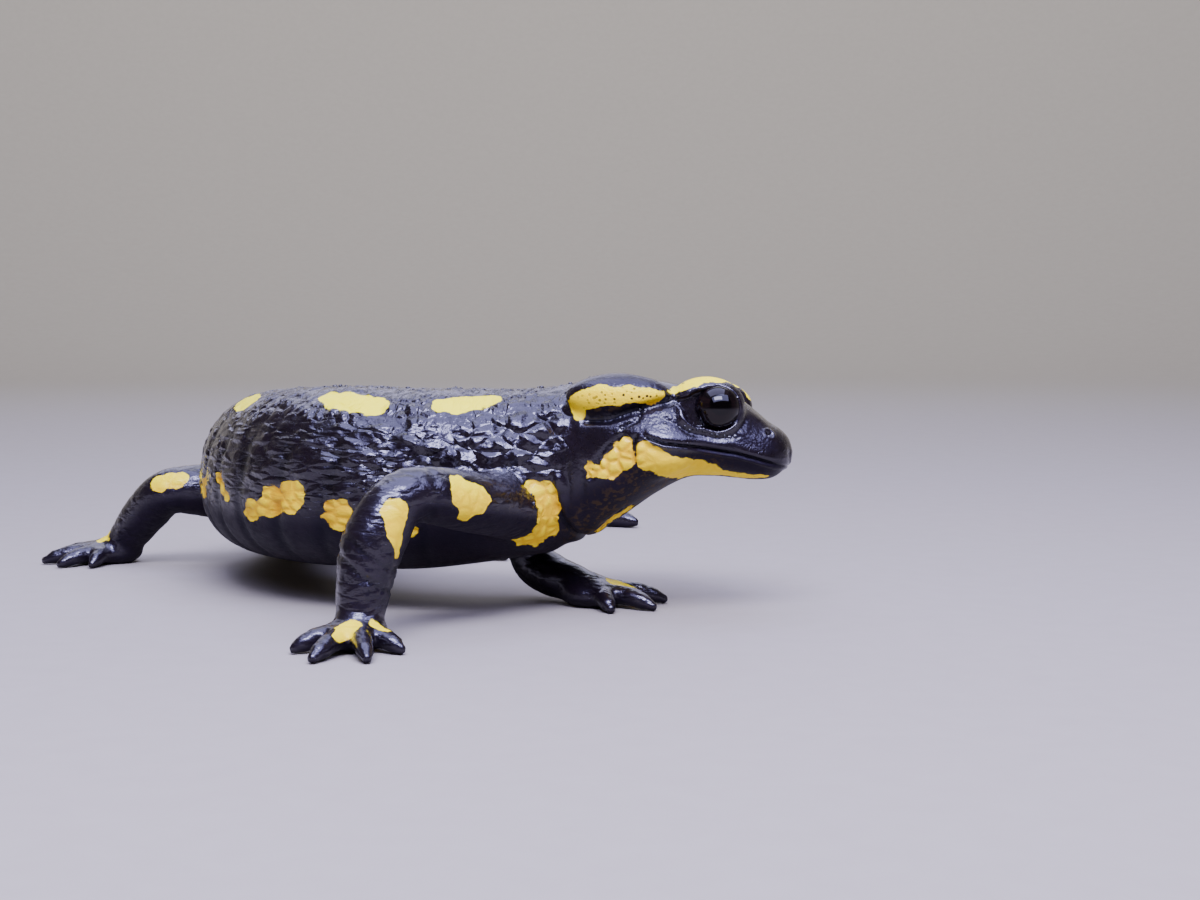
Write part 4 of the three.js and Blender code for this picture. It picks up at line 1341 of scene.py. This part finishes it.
# The mesh takes this share of the height that the table of plates gives. The finish repeats it, finer.
sizes = {"Plate Relief": 0.55 * MM, "Cobble Depth": 0.17 * MM, "Material": skin_material}
skin = run_nodes("skin", skin_mesh, wrinkles, sizes)
skin.data.shade_smooth()
print("skin triangles:", count_triangles(skin.data))

# %% [markdown]
# ## Beads of gland
# Along the back, on the shoulder, and behind and under the eye single glands stand up as beads, 0.3 to
# 0.6 mm across, which catch the light one by one. They repeat, so Geometry Nodes scatter them
# where the skin says, never closer than a given spacing, and press each one half into it.

# %% Wet gland skin
bead_material, tree = new_finish("wet gland skin")
place = add_node(tree, "ShaderNodeTexCoord", out="Object")
clouds = {"Vector": place, "Scale": 2500.0}  # to the metre, so one every 0.4 mm
mottle = add_node(tree, "ShaderNodeTexNoise", clouds, out="Fac")
shader = add_node(
    tree,
    "ShaderNodeBsdfPrincipled",
    {
        "Base Color": lay_over(tree, linear("#0f0d13"), [(mottle, 1.0, "#26232e")]),
        "Roughness": 0.2,
        "IOR": 1.4,
        "Coat Weight": 1.0,
        "Coat Roughness": 0.05,
        "Coat IOR": 1.36,
    },
)
add_node(tree, "ShaderNodeOutputMaterial", {"Surface": shader})
print(bead_material.name, len(tree.nodes), "nodes")

# %% The bead tree
bead_tree, given = new_geometry_tree(
    "gland beads",
    {
        "Bead Radius": "NodeSocketFloat",
        "Least Spacing": "NodeSocketFloat",
        "Most per Area": "NodeSocketFloat",
        "Seed": "NodeSocketInt",
        "Material": "NodeSocketMaterial",
    },
)
scattered = add_node(
    bead_tree,
    "GeometryNodeDistributePointsOnFaces",
    {
        "Mesh": given["Geometry"],
        "Distance Min": given["Least Spacing"],
        "Density Max": given["Most per Area"],
        "Density Factor": add_node(
            bead_tree, "GeometryNodeInputNamedAttribute", {"Name": "beads"}, out="Attribute"
        ),
        "Seed": given["Seed"],
    },
    out="Points",
    distribute_method="POISSON",
)
ball = {"Radius": given["Bead Radius"], "Subdivisions": 2}
ball = add_node(bead_tree, "GeometryNodeMeshIcoSphere", ball, out="Mesh")
smooth_ball = add_node(bead_tree, "GeometryNodeSetShadeSmooth", {"Geometry": ball})
spread = add_node(
    bead_tree,
    "FunctionNodeRandomValue",
    {"Min": (0.6, 0.6, 0.45), "Max": (1.3, 1.2, 0.8), "Seed": given["Seed"]},
    out="Value",
    data_type="FLOAT_VECTOR",
)
placed = add_node(
    bead_tree,
    "GeometryNodeInstanceOnPoints",
    {
        "Points": scattered,
        "Instance": smooth_ball,
        "Rotation": scattered.node.outputs["Rotation"],
        "Scale": spread,
    },
)
real = add_node(bead_tree, "GeometryNodeRealizeInstances", {"Geometry": placed})
dressed = {"Geometry": real, "Material": given["Material"]}
dressed = add_node(bead_tree, "GeometryNodeSetMaterial", dressed)
add_node(bead_tree, "NodeGroupOutput", {"Geometry": dressed})
sizes = {
    "Bead Radius": 0.24 * MM,
    "Least Spacing": 0.5 * MM,
    "Most per Area": 3.0 / MM**2,
    "Seed": 7,
    "Material": bead_material,
}
gland_beads = run_nodes("gland_beads", skin.data, bead_tree, sizes)
print("bead triangles:", count_triangles(gland_beads.data))

# %% [markdown]
# ## Eyes
# A salamander's eye is a near-black ball: a brown-black iris whose pupil hardly shows, under a clear
# cornea that bulges a little. It is turned on a lathe round its axis of sight, with the cornea's
# bulge, the ring where it meets the white, and an iris with fine spokes.

# %% Wet eye
eye_material, tree = new_finish("wet eye, brown-black iris")
from_pupil = add_node(tree, "ShaderNodeAttribute", out="Fac", attribute_name="from_pupil")
round_pupil = add_node(tree, "ShaderNodeAttribute", out="Vector", attribute_name="round_pupil")
spokes = {"Vector": round_pupil, "Scale": 9.0, "Detail": 3.0}
spokes = add_node(tree, "ShaderNodeTexNoise", spokes, out="Fac")
# Where each colour starts and is full: the noise of the spokes, and radians from the axis of sight.
bounds = {
    "spoke": (spokes, 0.35, 0.7),
    "pupil": (from_pupil, 0.5, 0.46),
    "rim": (from_pupil, 1.1, 1.3),
}
shares = {
    name: add_node(
        tree,
        "ShaderNodeMapRange",
        {"Value": value, "From Min": start, "From Max": end},
        interpolation_type="SMOOTHSTEP",
    )
    for name, (value, start, end) in bounds.items()
}
layers = [
    (shares["spoke"], 1.0, "#170d0d"),
    (shares["pupil"], 1.0, "#020102"),
    (shares["rim"], 1.0, "#0c070e"),
]
shader = add_node(
    tree,
    "ShaderNodeBsdfPrincipled",
    {
        "Base Color": lay_over(tree, linear("#080506"), layers),
        "Roughness": 0.1,
        "IOR": 1.1,
        "Coat Weight": 1.0,
        "Coat Roughness": 0.02,
        "Coat IOR": 1.35,
    },
)
add_node(tree, "ShaderNodeOutputMaterial", {"Surface": shader})
print(eye_material.name, len(tree.nodes), "nodes")

# %% Turn the eyeballs
EYE_MERIDIANS, EYE_PARALLELS = 64, 40
CORNEA_BULGE, CORNEA_EDGE = 0.12, 1.22  # millimetres, and radians from the axis of sight
CORNEA_RING = (0.025, 0.1)  # depth and width of the ring where cornea and white meet
SIGHT_AHEAD, SIGHT_UP = 0.25, 0.1  # the axis of sight leans forward and up
EYE_BACK, EYE_DROP = 0.1, 0.2  # the ball sits this far back and down between its lids


def eye_profile(polar):
    """Distance from the eye's centre, by the angle from its axis of sight."""
    bulge = CORNEA_BULGE * (1 - fade(polar, 0.0, CORNEA_EDGE * 1.5))
    ring = CORNEA_RING[0] * bell(polar - CORNEA_EDGE, CORNEA_RING[1])
    return EYE_RADIUS - CORNEA_BULGE + bulge - ring


def lathe_faces(rows, meridians):
    """Faces of a turned form: a point, rows of points round the axis, and a point."""
    faces = []
    last = 1 + rows * meridians
    for k in range(meridians):
        j = (k + 1) % meridians
        faces.append((0, 1 + j, 1 + k))
        for a in range(1, 1 + (rows - 1) * meridians, meridians):
            faces.append((a + k, a + j, a + meridians + j, a + meridians + k))
        a = last - meridians
        faces.append((last, a + k, a + j))
    return faces


def eyeball(name, side):
    """An eyeball between its lids. The side is 1 for the left one and -1 for the right."""
    sight = np.array([*(FORWARD * SIGHT_AHEAD + LEFTWARD * side), SIGHT_UP])
    sight /= np.linalg.norm(sight)
    across = np.cross(sight, [0.0, 0.0, 1.0])
    across /= np.linalg.norm(across)
    polar = np.linspace(0, math.pi, EYE_PARALLELS + 1)[1:-1]
    turn = np.arange(EYE_MERIDIANS) * 2 * math.pi / EYE_MERIDIANS
    ring = np.cos(turn)[:, None] * across + np.sin(turn)[:, None] * np.cross(across, sight)
    rows = [eye_profile(p) * (math.cos(p) * sight + math.sin(p) * ring) for p in polar]
    ends = [eye_profile(0.0) * sight, -eye_profile(math.pi) * sight]
    centre = EYE_LINE + np.array([*(LEFTWARD * side * EYE_SIDE - FORWARD * EYE_BACK), -EYE_DROP])
    places = rolled(centre + np.vstack([ends[:1], *rows, ends[1:]]))
    mesh = bpy.data.meshes.new(name)
    mesh.from_pydata(to_frame(places).tolist(), [], lathe_faces(len(polar), EYE_MERIDIANS))
    angle = np.concatenate([[0.0], np.repeat(polar, EYE_MERIDIANS), [math.pi]])
    spoke = np.column_stack([np.cos(turn), np.sin(turn), 0 * turn])
    spoke = np.vstack([np.zeros((1, 3)), np.tile(spoke, (len(polar), 1)), np.zeros((1, 3))])
    write_known(mesh, "from_pupil", angle)
    write_known(mesh, "round_pupil", spoke)
    mesh.materials.append(eye_material)
    mesh.shade_smooth()
    sheet = bmesh.new()
    sheet.from_mesh(mesh)
    bmesh.ops.recalc_face_normals(sheet, faces=sheet.faces)
    sheet.to_mesh(mesh)
    sheet.free()
    return put_in_scene(name, mesh)


eyeballs = {name: eyeball("eyeball_" + name, side) for name, side in (("right", -1), ("left", 1))}
print({name: count_triangles(made.data) for name, made in eyeballs.items()}, "triangles")

# %% [markdown]
# ## What stands for what
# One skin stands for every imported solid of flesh, so that no seam shows where they were parted. The
# beads belong to it, and each eyeball stands for its own solid. Nothing moves, so all ride together.

# %% Say which body each piece is
FLESH = [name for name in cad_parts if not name.startswith("eye_")]
for made, slot in ((skin, "skin"), (gland_beads, "skin"), *((ball, "eye") for ball in eyeballs.values())):
    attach(made, "root")
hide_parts(*FLESH)
for name, made in eyeballs.items():
    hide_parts("eye_" + name)
print("the skin stands for", len(FLESH), "solids")

# %% [markdown]
# ## Floor and backdrop
# A sheet of pale card that lies flat under the animal and curves up behind it on every side, as a
# studio's cove does, so that no edge shows. It is a profile turned round the upright axis.

# %% Pale card
card_material, tree = new_finish("pale matt card")
place = add_node(tree, "ShaderNodeTexCoord", out="Object")
flecks = {"Vector": place, "Scale": 300.0}  # to the metre, so one every 3 mm or so
fleck = add_node(tree, "ShaderNodeTexNoise", flecks, out="Fac")
card = {"Base Color": lay_over(tree, linear("#9c9588"), [(fleck, 1.0, "#a29b8e")]), "Roughness": 0.9}
shader = add_node(tree, "ShaderNodeBsdfPrincipled", card)
add_node(tree, "ShaderNodeOutputMaterial", {"Surface": shader})
print(card_material.name, len(tree.nodes), "nodes")

# %% Floor and backdrop
COVE_FLAT, COVE_BEND, COVE_TOP = 0.55, 0.45, 1.1  # metres: flat radius, bend radius, wall's height
COVE_SIDES, BEND_STEPS = 96, 16

bend = [
    (COVE_FLAT + COVE_BEND * math.sin(t), COVE_BEND * (1 - math.cos(t)))
    for t in np.linspace(0, math.pi / 2, BEND_STEPS)
]
cove_profile = [*bend, (COVE_FLAT + COVE_BEND, COVE_TOP)]
turns = [2 * math.pi * k / COVE_SIDES for k in range(COVE_SIDES)]
cove_points = [(r * math.cos(t), r * math.sin(t), z) for r, z in cove_profile for t in turns]
cove_faces = [tuple(range(COVE_SIDES))]
for row in range(len(cove_profile) - 1):
    for k in range(COVE_SIDES):
        a, b = row * COVE_SIDES + k, row * COVE_SIDES + (k + 1) % COVE_SIDES
        cove_faces.append((a, a + COVE_SIDES, b + COVE_SIDES, b))
cove_mesh = bpy.data.meshes.new("cove")
cove_mesh.from_pydata(cove_points, [], cove_faces)
cove_mesh.materials.append(card_material)
cove_mesh.shade_smooth()
cove = put_in_scene("cove", cove_mesh)
print("cove faces:", len(cove_faces))

# %% [markdown]
# ## Light
# A wet black animal is told by what it mirrors. A soft box hangs overhead, one stands behind to shine
# along the back, and a long one, high in front, is the sky that the back and the head mirror. A small
# one over the camera puts a window in the eye, and the last is turned to the backdrop. The room stays
# dim, so that whatever faces the camera squarely is black.

# %% Soft lights
# Place, width and height in metres, power and colour. All but the last look at the animal.
LIGHTS = {
    "overhead": ((0.0, -0.01, 0.32), 0.34, 0.26, 1.5, "#c2c4ff"),
    "behind": ((-0.03, 0.34, 0.26), 0.5, 0.2, 0.55, "#c4c6ff"),
    "sky": ((0.09, -0.26, 0.34), 0.62, 0.24, 3.6, "#bcbcff"),
    "window": ((0.03, -0.2, 0.24), 0.18, 0.085, 1.6, "#dadaff"),
    "backdrop": ((0.0, 0.55, 0.75), 1.0, 0.4, 8.0, "#f2f4ff"),
}
AIM = Vector((0.0, 0.0, 0.015))
WALL_AIM = Vector((0.0, 1.0, 0.3))  # where the backdrop's light looks
ROOM_LIGHT = 0.35

for name, (where, width, height, power, tint) in LIGHTS.items():
    lamp = bpy.data.lights.new(name, "AREA")
    lamp.shape = "RECTANGLE"
    lamp.size, lamp.size_y = width, height
    lamp.energy = power
    lamp.color = linear(tint)[:3]
    stand = put_in_scene(name, lamp)
    stand.location = where
    aim = WALL_AIM if name == "backdrop" else AIM
    stand.rotation_euler = (aim - Vector(where)).to_track_quat("-Z", "Y").to_euler()
    stand.visible_camera = False
world = bpy.data.worlds.new("studio")
bpy.context.scene.world = world
world.use_nodes = True
background = world.node_tree.nodes["Background"]
background.inputs["Color"].default_value = linear("#c9ccd6")
background.inputs["Strength"].default_value = ROOM_LIGHT
print(len(LIGHTS), "soft lights")
